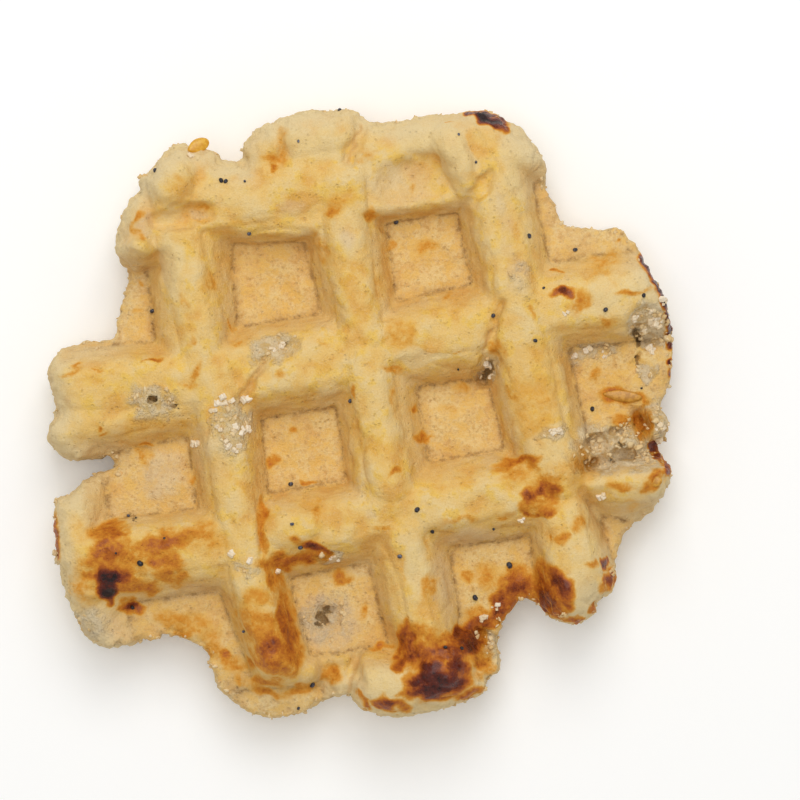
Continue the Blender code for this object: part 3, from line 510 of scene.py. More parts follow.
# Sugar browned on the iron, from 0.3 orange and 0.6 brown to 1 dark brown and over 1.2 black
BROWNED = {
    "back rim": [
        (25.4, 58.9, 3.2, 1.1, -27, 1.6), (23.4, 60.0, 1.9, 0.8, -15, 1.4),
        (28.2, 57.1, 0.9, 0.8, 0, 0.43), (-17.8, 50.7, 2.0, 0.9, 0, 0.45),
        (-17.4, 49.1, 0.7, 0.5, 20, 0.58), (-15.6, 52.9, 1.5, 4.0, 0, 0.3),
        (1.6, 51.9, 1.8, 1.0, 10, 0.3), (0.2, 50.5, 1.0, 0.7, 0, 0.3), (-5.4, 40.5, 1.7, 0.7, 15, 0.54),
        (-4.0, 42.1, 3.2, 1.8, 25, 0.29), (2.2, 39.5, 1.8, 0.9, 0, 0.4), (17.5, 57.9, 0.5, 0.3, 0, 0.5),
        (10.2, 44.9, 0.6, 0.9, 0, 0.36), (-35.6, 46.3, 1.2, 0.9, 0, 0.26),
        (22.6, 46.9, 2.4, 0.8, 0, 0.22),
    ],
    "back left": [
        (-44.2, 38.5, 0.5, 1.3, -40, 0.47), (-44.0, 35.7, 0.5, 1.8, 35, 0.36),
        (-29.6, 26.1, 0.7, 1.5, 10, 0.36), (-35.0, 22.1, 1.6, 0.8, -40, 0.3),
        (-33.4, 14.7, 0.7, 0.6, 0, 0.32), (-44.2, 20.3, 0.8, 0.6, 0, 0.36),
        (-44.2, 26.1, 0.4, 0.7, 0, 0.4), (-24.0, 14.1, 1.4, 0.4, 12, 0.43),
        (-25.6, 17.7, 0.4, 1.3, 8, 0.43), (-31.6, 41.1, 1.8, 1.0, 0, 0.32),
        (-7.0, 32.3, 1.3, 2.6, 10, 0.3), (-8.6, 34.5, 0.9, 2.4, 15, 0.29),
        (-22.0, 38.1, 4.0, 0.9, 8, 0.23), (-26.0, 31.0, 2.6, 1.6, 0, 0.18),
    ],
    "middle ridge, left": [
        (-41.0, 10.5, 1.6, 0.35, 5, 0.59), (-51.8, 8.9, 1.6, 0.3, 6, 0.51),
        (-57.2, 8.1, 2.0, 0.6, 20, 0.38), (-56.6, 9.4, 1.0, 0.3, 0, 0.42),
        (-32.8, 8.1, 0.8, 2.4, -35, 0.42), (-33.8, 5.7, 1.9, 0.9, -10, 0.36),
        (-51.2, -2.9, 0.4, 0.4, 0, 0.59), (-51.0, -4.1, 0.8, 0.3, 0, 0.42),
        (-43.0, -6.3, 0.8, 0.5, 0, 0.59), (-43.2, -8.3, 1.8, 0.8, -45, 0.38),
        (-33.6, -13.3, 0.6, 1.4, 8, 0.42), (-16.2, 7.7, 1.0, 0.8, 0, 0.36),
        (-7.0, 14.1, 1.0, 0.4, 0, 0.34), (-20.5, 2.5, 1.6, 1.2, 0, 0.26),
        (-42.5, -2.4, 9.0, 1.4, 4, 0.26),
    ],
    "middle ridge": [
        (8.0, 15.7, 3.0, 2.8, 0, 0.32), (13.4, 33.1, 1.6, 1.2, 10, 0.42), (6.2, 33.3, 1.2, 0.8, 0, 0.34),
        (17.4, 23.5, 1.5, 0.6, 15, 0.42), (6.0, 8.9, 1.6, 0.6, 0, 0.42), (6.4, 3.9, 0.8, 2.2, 10, 0.36),
        (10.8, 0.9, 0.9, 0.9, 0, 0.53), (12.6, -5.1, 1.1, 0.9, 0, 0.51), (14.4, -4.5, 1.2, 0.4, 0, 0.38),
        (20.6, 4.7, 1.5, 0.9, 0, 0.34), (18.0, 0.7, 1.2, 0.9, -30, 0.31), (19.0, 11.9, 1.2, 0.3, 0, 0.42),
        (-1.4, 4.0, 0.5, 1.0, 10, 0.42), (27.2, 13.1, 1.4, 1.4, 0, 0.42), (31.2, 3.1, 1.2, 0.9, -40, 0.38),
        (30.0, 4.5, 1.4, 0.7, -30, 0.31), (36.6, 2.5, 1.6, 1.0, 0, 0.34), (34.2, 20.1, 0.6, 1.4, 10, 0.36),
        (29.5, 18.5, 2.6, 1.4, 0, 0.26), (34.5, -1.5, 4.0, 4.0, 0, 0.26), (6.6, -11.3, 1.1, 0.7, 20, 0.51),
    ],
    "golden right column": [
        (34.8, 1.6, 4.4, 8.6, 12, 0.24), (40.0, -12.0, 3.4, 3.0, 0, 0.26), (33.0, 12.5, 3.6, 3.0, 0, 0.2),
    ],
    "middle ridge, right": [
        (40.0, 24.3, 1.8, 0.9, 0, 0.95), (43.8, 22.3, 1.8, 1.8, 0, 0.5), (54.2, 24.1, 2.8, 0.7, 4, 0.5),
        (49.4, 18.1, 1.5, 1.2, -20, 0.4), (39.2, 28.7, 1.2, 0.4, 0, 0.55), (48.6, 30.5, 4.2, 1.6, 15, 0.32),
        (51.4, 3.6, 3.8, 1.2, -6, 0.62), (55.0, 3.1, 2.6, 0.8, -12, 0.55), (46.6, 7.7, 1.0, 1.4, -30, 0.36),
        (42.2, 24.9, 0.8, 0.6, 0, 0.4), (51.8, 34.2, 0.9, 0.4, 30, 0.4), (47.6, 28.2, 2.4, 0.8, 10, 0.3),
        (56.4, -2.0, 1.8, 2.6, 0, 0.5), (52.4, -1.1, 2.6, 1.0, 0, 0.45),
    ],
    "right end": [
        (44.0, -9.7, 2.6, 3.4, 10, 0.36), (58.8, -12.6, 1.8, 1.1, 10, 0.6),
        (57.6, -14.7, 2.0, 0.9, 20, 0.5), (51.2, -14.3, 2.6, 0.8, 5, 0.4),
        (53.2, -14.9, 1.6, 0.6, 10, 0.4), (54.6, -18.3, 1.4, 0.8, 0, 0.3),
        (58.7, -6.4, 0.7, 1.2, 20, 1.0), (59.4, -9.1, 0.7, 0.9, 30, 1.1), (61.6, 10.9, 0.6, 0.7, 0, 1.2),
        (62.1, 8.3, 0.6, 0.8, 0, 1.2), (50.0, -32.9, 1.2, 1.8, -10, 0.85),
        (48.8, -34.5, 1.2, 1.0, 0, 0.5), (47.0, -38.9, 1.4, 1.0, 0, 0.7),
        (48.4, -29.7, 0.5, 1.0, 0, 0.9), (46.0, -29.9, 0.9, 0.9, 0, 0.42),
        (40.2, -24.7, 1.2, 1.2, 20, 0.5), (43.4, -22.1, 1.8, 1.4, 30, 0.42),
        (38.0, -24.1, 0.4, 0.7, 0, 0.5),
    ],
    "near ridge, right": [
        (32.0, -9.5, 3.6, 1.0, 12, 0.64), (28.6, -10.7, 2.4, 0.9, 10, 0.42),
        (34.4, -10.7, 0.9, 1.9, 40, 0.42), (33.6, -16.5, 1.0, 2.2, 0, 0.72),
        (36.0, -14.9, 3.0, 1.0, 12, 0.72), (38.2, -15.5, 1.6, 1.6, 0, 0.68),
        (35.6, -18.3, 2.4, 1.0, 0, 0.47), (32.8, -19.1, 1.6, 0.9, -20, 0.59),
        (36.4, -19.7, 2.0, 0.7, 10, 0.59), (38.6, -17.9, 0.9, 0.9, 0, 0.51),
        (36.8, -13.3, 2.8, 1.2, 20, 0.42), (31.0, -12.3, 3.4, 1.4, 0, 0.34),
        (29.0, -20.5, 1.8, 0.6, 10, 0.38), (20.5, -20.9, 4.4, 0.7, 8, 0.34),
    ],
    "end of the right column": [
        (37.0, -35.3, 2.4, 4.8, 12, 0.7), (39.6, -33.9, 2.8, 1.6, -50, 0.98),
        (37.6, -37.3, 1.8, 3.2, 35, 0.94), (36.6, -32.1, 1.9, 1.9, 0, 0.57),
        (40.4, -36.3, 1.5, 2.2, 20, 0.78), (42.6, -41.3, 2.6, 0.7, -5, 0.74),
        (39.8, -40.1, 0.9, 0.6, 0, 0.66), (36.2, -29.5, 1.2, 1.2, 0, 0.33),
    ],
    "front bay": [
        (31.4, -34.5, 3.2, 3.2, 0, 0.72), (29.6, -37.1, 2.8, 2.6, 0, 0.8),
        (27.4, -39.9, 3.0, 1.6, 35, 0.8), (23.8, -41.9, 4.6, 1.2, 15, 0.75),
        (20.6, -43.7, 2.8, 1.6, 30, 0.95), (25.4, -32.3, 1.9, 2.4, 0, 0.4),
        (29.8, -31.1, 1.0, 0.7, 0, 0.5), (21.6, -32.7, 1.0, 0.8, 0, 0.5),
        (23.6, -39.9, 2.6, 1.4, 0, 0.4), (13.8, -33.9, 1.3, 2.0, -30, 0.38),
        (12.8, -35.3, 1.0, 1.0, 0, 0.36),
    ],
    "burnt knob at the front": [
        (15.8, -53.5, 4.6, 2.6, 6, 1.15), (14.2, -50.7, 2.4, 1.5, 0, 1.2),
        (12.2, -52.9, 1.8, 1.6, 0, 1.35), (14.4, -55.3, 4.4, 1.0, 4, 1.25),
        (19.4, -50.7, 2.2, 1.8, 20, 0.95), (9.2, -44.7, 1.4, 2.8, 0, 0.8),
        (10.4, -47.7, 2.6, 2.4, 0, 0.82), (8.0, -49.7, 1.3, 1.2, 0, 0.85),
        (4.2, -46.3, 1.9, 0.8, 5, 0.55), (14.6, -48.3, 4.2, 2.0, 5, 0.7),
        (21.6, -45.7, 3.0, 2.2, 30, 0.98), (18.6, -47.3, 3.4, 1.6, 20, 0.85),
        (23.8, -48.9, 2.4, 1.6, 0, 0.55), (25.8, -50.3, 1.6, 1.4, 20, 0.4),
        (16.6, -45.3, 3.6, 1.8, 20, 0.62), (6.2, -57.7, 3.0, 1.1, -8, 0.85),
        (0.7, -57.5, 2.2, 0.6, -50, 0.65), (22.0, -56.2, 2.6, 1.0, 20, 0.7),
        (10.6, -52.9, 1.4, 1.4, 0, 0.6), (12.4, -43.2, 2.6, 1.6, 0, 0.45),
        (23.6, -52.3, 1.4, 1.2, 0, 0.3),
    ],
    "tail of the left column": [
        (-14.4, -42.9, 6.6, 1.5, -80, 0.66), (-19.6, -41.7, 4.4, 2.6, 0, 0.42),
        (-18.4, -43.9, 3.8, 2.2, 0, 0.5), (-17.6, -46.5, 3.2, 2.2, 20, 0.72),
        (-18.4, -49.5, 3.4, 1.7, 0, 0.66), (-14.2, -47.9, 2.6, 2.8, 0, 0.6),
        (-22.4, -39.9, 2.4, 1.5, 0, 0.4), (-19.0, -55.3, 4.2, 0.8, -18, 0.45),
        (-12.4, -55.1, 3.4, 0.8, 12, 0.45), (-17.0, -32.3, 1.1, 3.6, 8, 0.5),
        (-20.0, -36.5, 3.2, 2.0, 0, 0.36), (-5.4, -52.1, 1.6, 1.6, -40, 0.5),
        (-18.6, -53.3, 3.6, 0.9, 0, 0.45), (-14.5, -51.0, 2.0, 1.2, 0, 0.5),
    ],
    "near ridge, middle": [
        (-8.8, -26.7, 2.6, 0.9, -25, 1.0), (-9.8, -28.5, 3.0, 1.3, 0, 0.65),
        (-14.8, -29.3, 4.2, 1.5, 10, 0.68), (-8.4, -19.9, 1.1, 2.8, 0, 0.4),
        (-3.8, -32.7, 1.6, 1.1, 0, 0.6), (-19.5, -22.3, 0.7, 5.4, 0, 0.55),
        (0.4, -39.5, 0.9, 1.5, -30, 0.4), (-10.4, -13.9, 1.3, 0.5, 0, 0.55),
        (-17.6, -9.1, 1.2, 1.4, 0, 0.5), (-13.6, -3.6, 0.9, 0.7, 0, 0.4),
        (-12.4, -25.2, 1.6, 0.8, 0, 0.4), (5.0, -22.7, 2.0, 0.7, -10, 0.42),
    ],
    "near ridge, left": [
        (-50.0, -32.5, 2.2, 1.8, 0, 1.45), (-50.0, -35.2, 1.6, 1.7, 0, 1.7),
        (-52.6, -32.3, 1.5, 1.0, 0, 0.7), (-50.0, -23.7, 3.2, 2.0, 10, 0.6),
        (-49.8, -27.9, 3.8, 2.0, 20, 0.68), (-46.6, -28.3, 3.0, 2.2, 0, 0.52),
        (-52.6, -29.5, 2.4, 2.2, 0, 0.5), (-39.6, -25.7, 5.4, 1.7, 12, 0.66),
        (-33.6, -23.9, 5.0, 1.5, 8, 0.45), (-39.0, -29.3, 3.8, 1.7, -5, 0.58),
        (-37.4, -32.5, 3.6, 1.4, -5, 0.48), (-44.4, -34.5, 3.2, 1.6, 5, 0.58),
        (-42.6, -35.1, 1.8, 1.2, 0, 0.62), (-48.0, -32.3, 2.4, 2.4, 0, 0.75),
        (-46.8, -34.9, 1.6, 1.6, 0, 0.5), (-45.2, -38.7, 2.2, 1.2, 0, 0.95),
        (-51.2, -25.4, 1.2, 0.8, 40, 0.8), (-44.0, -31.0, 3.0, 1.6, 0, 0.36),
        (-30.0, -26.0, 3.6, 1.4, 8, 0.34), (-55.0, -35.0, 2.6, 3.4, 0, 0.32),
        (-60.3, -24.5, 0.5, 5.0, 4, 0.5),
    ],
    "front left bay": [
        (-27.4, -48.5, 1.6, 1.0, -30, 0.68), (-24.8, -50.3, 2.0, 1.1, 10, 0.42),
        (-30.8, -43.9, 3.4, 1.8, -35, 0.32), (-37.0, -41.3, 3.6, 1.8, -10, 0.38),
        (-35.8, -44.1, 1.6, 1.3, 0, 0.44), (-33.2, -43.1, 1.8, 0.8, 5, 0.42),
        (-29.4, -47.3, 1.8, 1.3, -20, 0.41), (-32.0, -41.5, 2.0, 1.2, -20, 0.36),
        (-24.2, -53.2, 0.9, 1.4, 0, 0.36),
    ],
}


def patches(places, entries, growth, steepness):
    """The strongest patch over each place: full in its middle, fading to nothing at its grown edge."""
    found = np.zeros(len(places))
    for x, y, half_length, half_width, turn, strength in entries:
        near = oval(places, x, y, half_length * growth, half_width * growth, turn)
        found = np.maximum(found, strength * np.clip(near * steepness, 0, 1))
    return found


def upward(normals):
    """1 on what faces up, falling to 0 on what faces sideways or down."""
    return np.clip(normals[:, 2] * 3, 0, 1)


points = points_of(dough.data)
normals = normals_of(dough.data)
places = points[:, :2]
rim_distance = distance_to_line(places, rim_line)
crisp = shown_height(places, rim_distance)
to_snap = (normals[:, 2] > 0.3) & (points[:, 2] > SEAM_HEIGHT) & (np.abs(crisp - points[:, 2]) < SNAP_REACH)
points[to_snap, 2] = crisp[to_snap]
torn = patches(warped(points, *TORN_WARP), TORN_CRUMB, 1.4, 1.3) * upward(normals)
at_rim = np.clip(1.2 - rim_distance / 3.0, 0, 1) * (np.abs(normals[:, 2]) < 0.9)
on_wall = np.clip(1.2 - np.abs(normals[:, 2]) * 1.3, 0, 1)
strata = points * (0.4, 0.4, 2.0)
wrinkles = np.clip(1 - np.abs(noise_at(points, WRINKLE_SIZE, 25)) / 0.11, 0, 1)
lumpy = rough_with(points, BUMPS)
chunky = CHUNK_HEIGHT * np.abs(noise_at(points, CHUNK_SIZE, 8))
crumbly = CRUMB_HEIGHT * noise_at(points, CRUMB_SIZE, 9)
torn_depth = torn * (TEAR_LEAST + TEAR_GROWTH * torn) * (chunky + crumbly)
ragged = rough_with(points, RAGGED_RIM)
folded = FOLD_HEIGHT * noise_at(strata, FOLD_SIZE, 23)
rise = lumpy + at_rim * ragged + on_wall * folded - torn_depth - WRINKLE_DEPTH * wrinkles
points = points + normals * rise[:, None]
points[:, 2] = soft_min(np.maximum(points[:, 2], 0.0), HIGHEST, 1.0)
set_points(dough.data, points)

for face in dough.data.polygons:
    face.select = face.center.z < SEAM_HEIGHT * MM and face.normal.z < -0.2
bpy.ops.object.mode_set(mode="EDIT")
bpy.ops.mesh.select_mode(type="FACE")
bpy.ops.mesh.decimate(ratio=UNDERSIDE_SHARE)
bpy.ops.object.mode_set(mode="OBJECT")

# Painted on the dough point by point: how browned, torn or pale it is, where the iron pressed it, and painted
# light and shade: lighter crests, darker valleys, and shade on the walls, at their feet, in folds and in
# holes
points = points_of(dough.data)
normals = normals_of(dough.data)
places = points[:, :2]
facing_up = upward(normals)
rim_distance = distance_to_line(places, rim_line)
browned_patches = [patch for group in BROWNED.values() for patch in group]
floor_share = np.zeros(len(points))
shaded_wall_band = np.zeros(len(points))
seam = np.zeros(len(points))
floor_edge = np.zeros(len(points))
for corners, walls, _ in POCKETS.values():
    share = wall_share(places, corners, walls)
    floor_share = np.maximum(floor_share, np.clip(1.0 - share * 6, 0, 1))
    shaded_wall_band = np.maximum(shaded_wall_band, np.clip(1.6 - np.abs(share - 0.45) * 2.6, 0, 1))
    seam = np.maximum(seam, np.exp(-(((share - 0.02) / 0.12) ** 2)))
    floor_edge = np.maximum(floor_edge, np.exp(-((share / 0.45) ** 2)))
bumps = rough_with(points, BUMPS)
# Painted shade along the creases and folds
fold = np.zeros(len(points))
fold_places = warped(points, 0.8, 2.2, 19)
for start, end, _, _ in CREASES.values():
    fold = np.maximum(fold, near_line(fold_places, start, end, 0.55))
browned = patches(warped(points, 1.3, 2.6, 11), browned_patches, 1.7, 1.05) * facing_up
edge_band = np.clip((points[:, 2] - 5.0) / 3.0, 0, 1)
for start, end, strength in BURNT_EDGES:
    near_edge = near_line(warped(points, 0.5, 1.6, 35), start, end, 0.85)
    browned = np.maximum(browned, strength * edge_band * near_edge)
painted = {
    "fold": fold * facing_up,
    # How high the bumps stand, so that crests get painted light and valleys painted shade
    "raised": np.clip(0.5 + bumps * 1.5, 0, 1),
    "browned": browned,
    "torn": patches(warped(points, *TORN_WARP), TORN_CRUMB, 1.45, 1.3) * facing_up,
    "pale": patches(warped(points, 2.0, 5.0, 15), PALE_DOUGH, 1.2, 1.6) * facing_up,
    "greyed": patches(warped(points, 1.0, 3.0, 17), GREYED_DOUGH, 1.3, 1.5) * facing_up,
    "rim": np.clip(1.15 - rim_distance / 5.5, 0, 1),
    "pressed": floor_share * facing_up,
    # The walls' band: their own darker tan together with painted shade from their slope
    "wall": shaded_wall_band * (points[:, 2] > SEAM_HEIGHT),
    # A grey line of painted shade at the foot of each pocket's walls
    "seam": seam * facing_up * (rim_distance > 1.0),
    # Painted shade on each floor next to its walls
    "floor_edge": floor_edge * facing_up,
    # Painted shade inside the holes
    "hollow": patches(warped(points, 0.8, 1.8, 33), [(*hole[:5], 1.0) for hole in HOLES], 1.2, 1.6),
}
for name, values in painted.items():
    layer = dough.data.attributes.new(name, "FLOAT", "POINT")
    layer.data.foreach_set("value", values.astype(np.float32))
set_active(dough)
bpy.ops.object.shade_smooth()


def light_of(red, green, blue):
    """A colour given as the eye and a screen see it, 0 to 255, as light for the shaders."""
    return tuple((part / 255) ** 2.2 for part in (red, green, blue)) + (1.0,)


class Wire:
    """A socket in a material, with Python's operators standing for Math nodes."""

    def __init__(self, finish, socket):
        self.finish = finish
        self.socket = socket

    def _math(self, operation, *values):
        return self.finish.node("ShaderNodeMath", {"operation": operation}, dict(enumerate(values)))

    def __add__(self, other):
        return self._math("ADD", self, other)

    def __radd__(self, other):
        return self._math("ADD", other, self)

    def __sub__(self, other):
        return self._math("SUBTRACT", self, other)

    def __rsub__(self, other):
        return self._math("SUBTRACT", other, self)

    def __mul__(self, other):
        return self._math("MULTIPLY", self, other)

    def __rmul__(self, other):
        return self._math("MULTIPLY", other, self)

    def between(self, low, high):
        """0 below low, 1 above high, smooth between them."""
        settings = {"interpolation_type": "SMOOTHSTEP"}
        return self.finish.node("ShaderNodeMapRange", settings, {0: self, 1: low, 2: high})


class Finish:
    """A node material, built one node at a time around its Principled shader."""

    def __init__(self, name):
        self.material = bpy.data.materials.new(name)
        self.material.use_nodes = True
        self.tree = self.material.node_tree
        self.shader = self.tree.nodes["Principled BSDF"]
        self.place = self.node("ShaderNodeTexCoord", {}, {}, "Object")

    def node(self, kind, settings, inputs, output=0):
        made = self.tree.nodes.new(kind)
        for name, value in settings.items():
            if name == "stops":
                ramp = made.color_ramp
                while len(ramp.elements) < len(value):
                    ramp.elements.new(1.0)
                for element, (position, colour) in zip(ramp.elements, value):
                    element.position = position
                    element.color = colour
            else:
                setattr(made, name, value)
        for name, value in inputs.items():
            if isinstance(value, Wire):
                self.tree.links.new(value.socket, made.inputs[name])
            else:
                made.inputs[name].default_value = value
        return Wire(self, made.outputs[output])

    def attribute(self, name):
        return self.node("ShaderNodeAttribute", {"attribute_name": name}, {}, "Fac")

    def noise(self, size, detail=3.0, roughness=0.55):
        """Noise from 0 to 1, its lumps about as large as size, in millimetres."""
        inputs = {"Vector": self.place, "Scale": 1 / (size * MM), "Detail": detail, "Roughness": roughness}
        return self.node("ShaderNodeTexNoise", {}, inputs, "Fac")

    def layers(self, size):
        """Noise drawn out flat, as in dough that stretched while it rose."""
        squeezed = self.node("ShaderNodeMapping", {}, {"Vector": self.place, "Scale": (0.2, 0.2, 2.6)})
        inputs = {"Vector": squeezed, "Scale": 1 / (size * MM), "Detail": 3.0}
        return self.node("ShaderNodeTexNoise", {}, inputs, "Fac")

    def cells(self, size):
        """Distance to the nearest of many scattered points, in parts of their spacing."""
        inputs = {"Vector": self.place, "Scale": 1 / (size * MM)}
        return self.node("ShaderNodeTexVoronoi", {}, inputs, "Distance")

    def mix(self, share, first, second):
        inputs = {0: share, 6: first, 7: second}
        return self.node("ShaderNodeMix", {"data_type": "RGBA"}, inputs, 2)

    def ramp(self, share, stops):
        return self.node("ShaderNodeValToRGB", {"stops": stops}, {"Fac": share}, "Color")

    def feed(self, name, value):
        if isinstance(value, Wire):
            self.tree.links.new(value.socket, self.shader.inputs[name])
        else:
            self.shader.inputs[name].default_value = value

    def bump(self, height, depth):
        self.feed("Normal", self.node("ShaderNodeBump", {}, {"Height": height, "Distance": depth * MM}))


def baked_dough_finish():
    """Golden crust over cream dough, mottled where sugar browned, with fine pores; crests are painted
    lighter, and valleys, walls, the walls' feet, folds and holes painted darker as shade.
    """
    finish = Finish("baked dough")
    cream = light_of(235, 208, 150)
    rim_cream = light_of(227, 204, 156)
    golden = light_of(236, 193, 111)
    yellow = light_of(240, 195, 89)
    # Deep golden: random mottling, and painted shade in the valleys between bumps
    shade_and_mottle_golden = light_of(222, 158, 66)
    pressed_gold = light_of(235, 187, 100)
    floor_beige = light_of(238, 207, 147)
    floor_orange = light_of(222, 160, 74)
    wall_tan = light_of(220, 176, 106)
    # A darker tan: random grain and mottling, and painted shade on walls, at their feet and in folds
    grain_and_shade_tan = light_of(204, 156, 90)
    seam_shade_grey = light_of(146, 108, 62)
    crumb = light_of(240, 220, 182)
    torn_shade = light_of(216, 182, 128)
    smudge = light_of(218, 192, 158)
    pore_grey = light_of(146, 112, 74)
    hollow_shade_brown = light_of(132, 98, 54)
    toast_stops = [
        (0.0, light_of(230, 186, 104)), (0.16, light_of(226, 168, 72)), (0.3, light_of(212, 138, 44)),
        (0.43, light_of(182, 100, 26)), (0.56, light_of(140, 64, 16)), (0.72, light_of(100, 34, 10)),
        (0.95, light_of(38, 12, 10)),
    ]
    broad = finish.noise(12.0)
    medium = finish.noise(4.2, 4.0)
    small = finish.noise(1.9, 4.0, 0.6)
    fine = finish.noise(0.7, 4.0, 0.65)
    grain = finish.noise(0.3, 3.0, 0.7)
    raised = finish.attribute("raised")
    # Crests are painted lighter as painted light from above and valleys darker as painted shade, both mixed
    # with random mottling
    crest_light_and_mottle = raised * 0.4 + medium * 0.35 + small * 0.3
    colour = finish.mix(crest_light_and_mottle.between(0.42, 0.72) * 0.8, golden, cream)
    colour = finish.mix((medium * 0.6 + small * 0.5).between(0.52, 0.66) * 0.9, colour, yellow)
    valley_shade_and_mottle = (1 - raised) * 0.4 + broad * 0.3 + small * 0.4 + fine * 0.1
    colour = finish.mix(valley_shade_and_mottle.between(0.6, 0.8) * 0.6, colour, shade_and_mottle_golden)
    colour = finish.mix((small * 0.4 + fine * 0.6).between(0.54, 0.66) * 0.35, colour, grain_and_shade_tan)
    pale = (finish.attribute("pale") + (medium - 0.5) * 1.2).between(0.15, 0.85)
    colour = finish.mix(pale * 0.75, colour, cream)
    rim = (finish.attribute("rim") + (medium - 0.5) * 1.0).between(0.15, 0.9)
    colour = finish.mix(rim * 0.75, colour, rim_cream)
    pressed = finish.attribute("pressed")
    floor_colour = finish.mix((medium * 0.4 + small * 0.6).between(0.42, 0.58), pressed_gold, floor_beige)
    clouds = (broad * 0.5 + small * 0.5).between(0.49, 0.6)
    floor_colour = finish.mix(clouds * 0.6, floor_colour, floor_orange)
    floor_colour = finish.mix((small * 0.3 + fine * 0.7).between(0.49, 0.6) * 0.6, floor_colour, grain_and_shade_tan)
    # Painted shade darkens each floor towards its walls
    floor_edge = finish.attribute("floor_edge") * (0.1 + small)
    floor_colour = finish.mix(floor_edge.between(0.1, 0.8) * 0.55, floor_colour, grain_and_shade_tan)
    colour = finish.mix(pressed * 0.8, colour, floor_colour)
    # The walls: a striated darker tan, partly their own colour and partly painted shade
    wall_tan_and_shade = finish.mix(finish.layers(1.6).between(0.4, 0.62), wall_tan, grain_and_shade_tan)
    colour = finish.mix(finish.attribute("wall") * 0.4, colour, wall_tan_and_shade)
    colour = finish.mix(finish.attribute("greyed") * (0.2 + 0.6 * small), colour, smudge)
    torn = (finish.attribute("torn") + (small - 0.5) * 1.2 + (fine - 0.5) * 0.6).between(0.2, 0.9)
    torn_colour = finish.mix((small * 0.6 + fine * 0.4).between(0.4, 0.54), torn_shade, crumb)
    colour = finish.mix(torn * 0.8, colour, torn_colour)
    pores = (1 - finish.cells(1.1).between(0.12, 0.3)) * small.between(0.46, 0.6)
    # Painted shade: a grey line and more pores along the foot of the walls
    seam = finish.attribute("seam")
    pore_share = pores * (0.2 + 0.6 * seam)
    colour = finish.mix(pore_share, colour, pore_grey)
    colour = finish.mix(seam * (small * 0.6 + fine * 0.4).between(0.4, 0.6) * 0.75, colour, seam_shade_grey)
    # Painted shade darkens the creases and folds
    fold = finish.attribute("fold") * (0.3 + 0.9 * small)
    colour = finish.mix(fold.between(0.1, 0.9) * 0.7, colour, grain_and_shade_tan)
    # Painted shade darkens the insides of the holes
    hollow = (finish.attribute("hollow") + (fine - 0.5) * 0.6).between(0.25, 0.8)
    colour = finish.mix(hollow * 0.85, colour, hollow_shade_brown)
    colour = finish.mix(grain.between(0.5, 0.7) * 0.22, colour, grain_and_shade_tan)
    colour = finish.mix((1 - grain).between(0.5, 0.7) * 0.3, colour, crumb)
    browned = finish.attribute("browned")
    streaks = finish.noise(2.6, 5.0, 0.7)
    toast = browned * (0.1 + medium * 0.7 + streaks * 1.1)
    toast = toast + (small + fine - 1.0) * browned.between(0.0, 0.5) * 0.45
    colour = finish.mix(toast.between(0.06, 0.42), colour, finish.ramp(toast * 0.66, toast_stops))
    finish.feed("Base Color", colour)
    finish.feed("Roughness", 0.62 - toast.between(0.5, 1.1) * 0.36)
    finish.feed("Specular IOR Level", 0.25)
    finish.feed("Coat Weight", toast.between(0.35, 1.0) * 0.3)
    finish.feed("Coat Roughness", 0.16)
    blisters = (1 - finish.cells(2.0)) * toast.between(0.75, 1.15)
    relief = fine * 0.8 + small * 0.8 + grain * 0.8 - pores * 0.5
    finish.bump(relief * (0.8 + 0.8 * torn) + blisters * 1.6, 0.34)
    return finish.material


dough.data.materials.clear()
dough.data.materials.append(baked_dough_finish())
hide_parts("waffle")
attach(dough, "root")

# Poppy seeds: kidney-shaped, about a millimetre long, grey-blue to black. They were kneaded into the
# dough, so each lies half sunk in the crust.
POPPY_LENGTH = 1.06
POPPY_SPOTS = [
    (222, 182, 1.0, 0.0), (227, 183, 0.95, 0.1), (157, 172, 0.95, 0.2), (246, 183, 0.6, 0.5),
    (250, 234, 0.95, 0.6), (340, 111, 0.9, 0.1), (299, 143, 0.6, 0.8), (396, 222, 1.0, 0.2),
    (528, 237, 1.0, 0.3), (458, 137, 0.6, 0.8), (475, 164, 0.6, 0.6), (153, 311, 1.0, 0.2),
    (492, 316, 1.0, 0.5), (534, 341, 0.9, 0.4), (458, 369, 0.5, 0.0), (575, 250, 0.95, 0.4),
    (604, 310, 1.0, 0.2), (642, 296, 0.9, 0.1), (543, 289, 0.6, 0.2), (592, 409, 1.0, 0.1),
    (351, 401, 0.9, 0.6), (417, 509, 1.15, 0.1), (432, 530, 0.95, 0.0), (291, 484, 1.0, 0.5),
    (293, 523, 0.8, 0.7), (301, 546, 1.0, 0.4), (142, 562, 1.3, 0.0), (137, 518, 0.5, 0.0),
    (129, 516, 0.7, 0.5), (509, 565, 1.35, 0.3), (475, 597, 1.2, 0.1), (312, 684, 1.15, 0.3),
    (493, 528, 0.6, 0.2), (445, 646, 0.8, 0.0), (461, 647, 0.8, 0.0), (400, 555, 1.0, 0.9),
    (245, 630, 0.7, 0.9), (299, 708, 0.7, 0.1), (641, 388, 0.5, 0.1), (118, 552, 0.5, 0.0),
    (166, 537, 0.5, 0.2), (133, 607, 0.9, 0.0),
]
WAFFLE_MIDDLE = (360, 413.5)
PIXELS_PER_MM = 5.0


def from_photo(across, down):
    """The place in millimetres of a pixel of the photograph."""
    return (across - WAFFLE_MIDDLE[0]) / PIXELS_PER_MM, (WAFFLE_MIDDLE[1] - down) / PIXELS_PER_MM


dough_surface = BVHTree.FromObject(dough, bpy.context.evaluated_depsgraph_get())


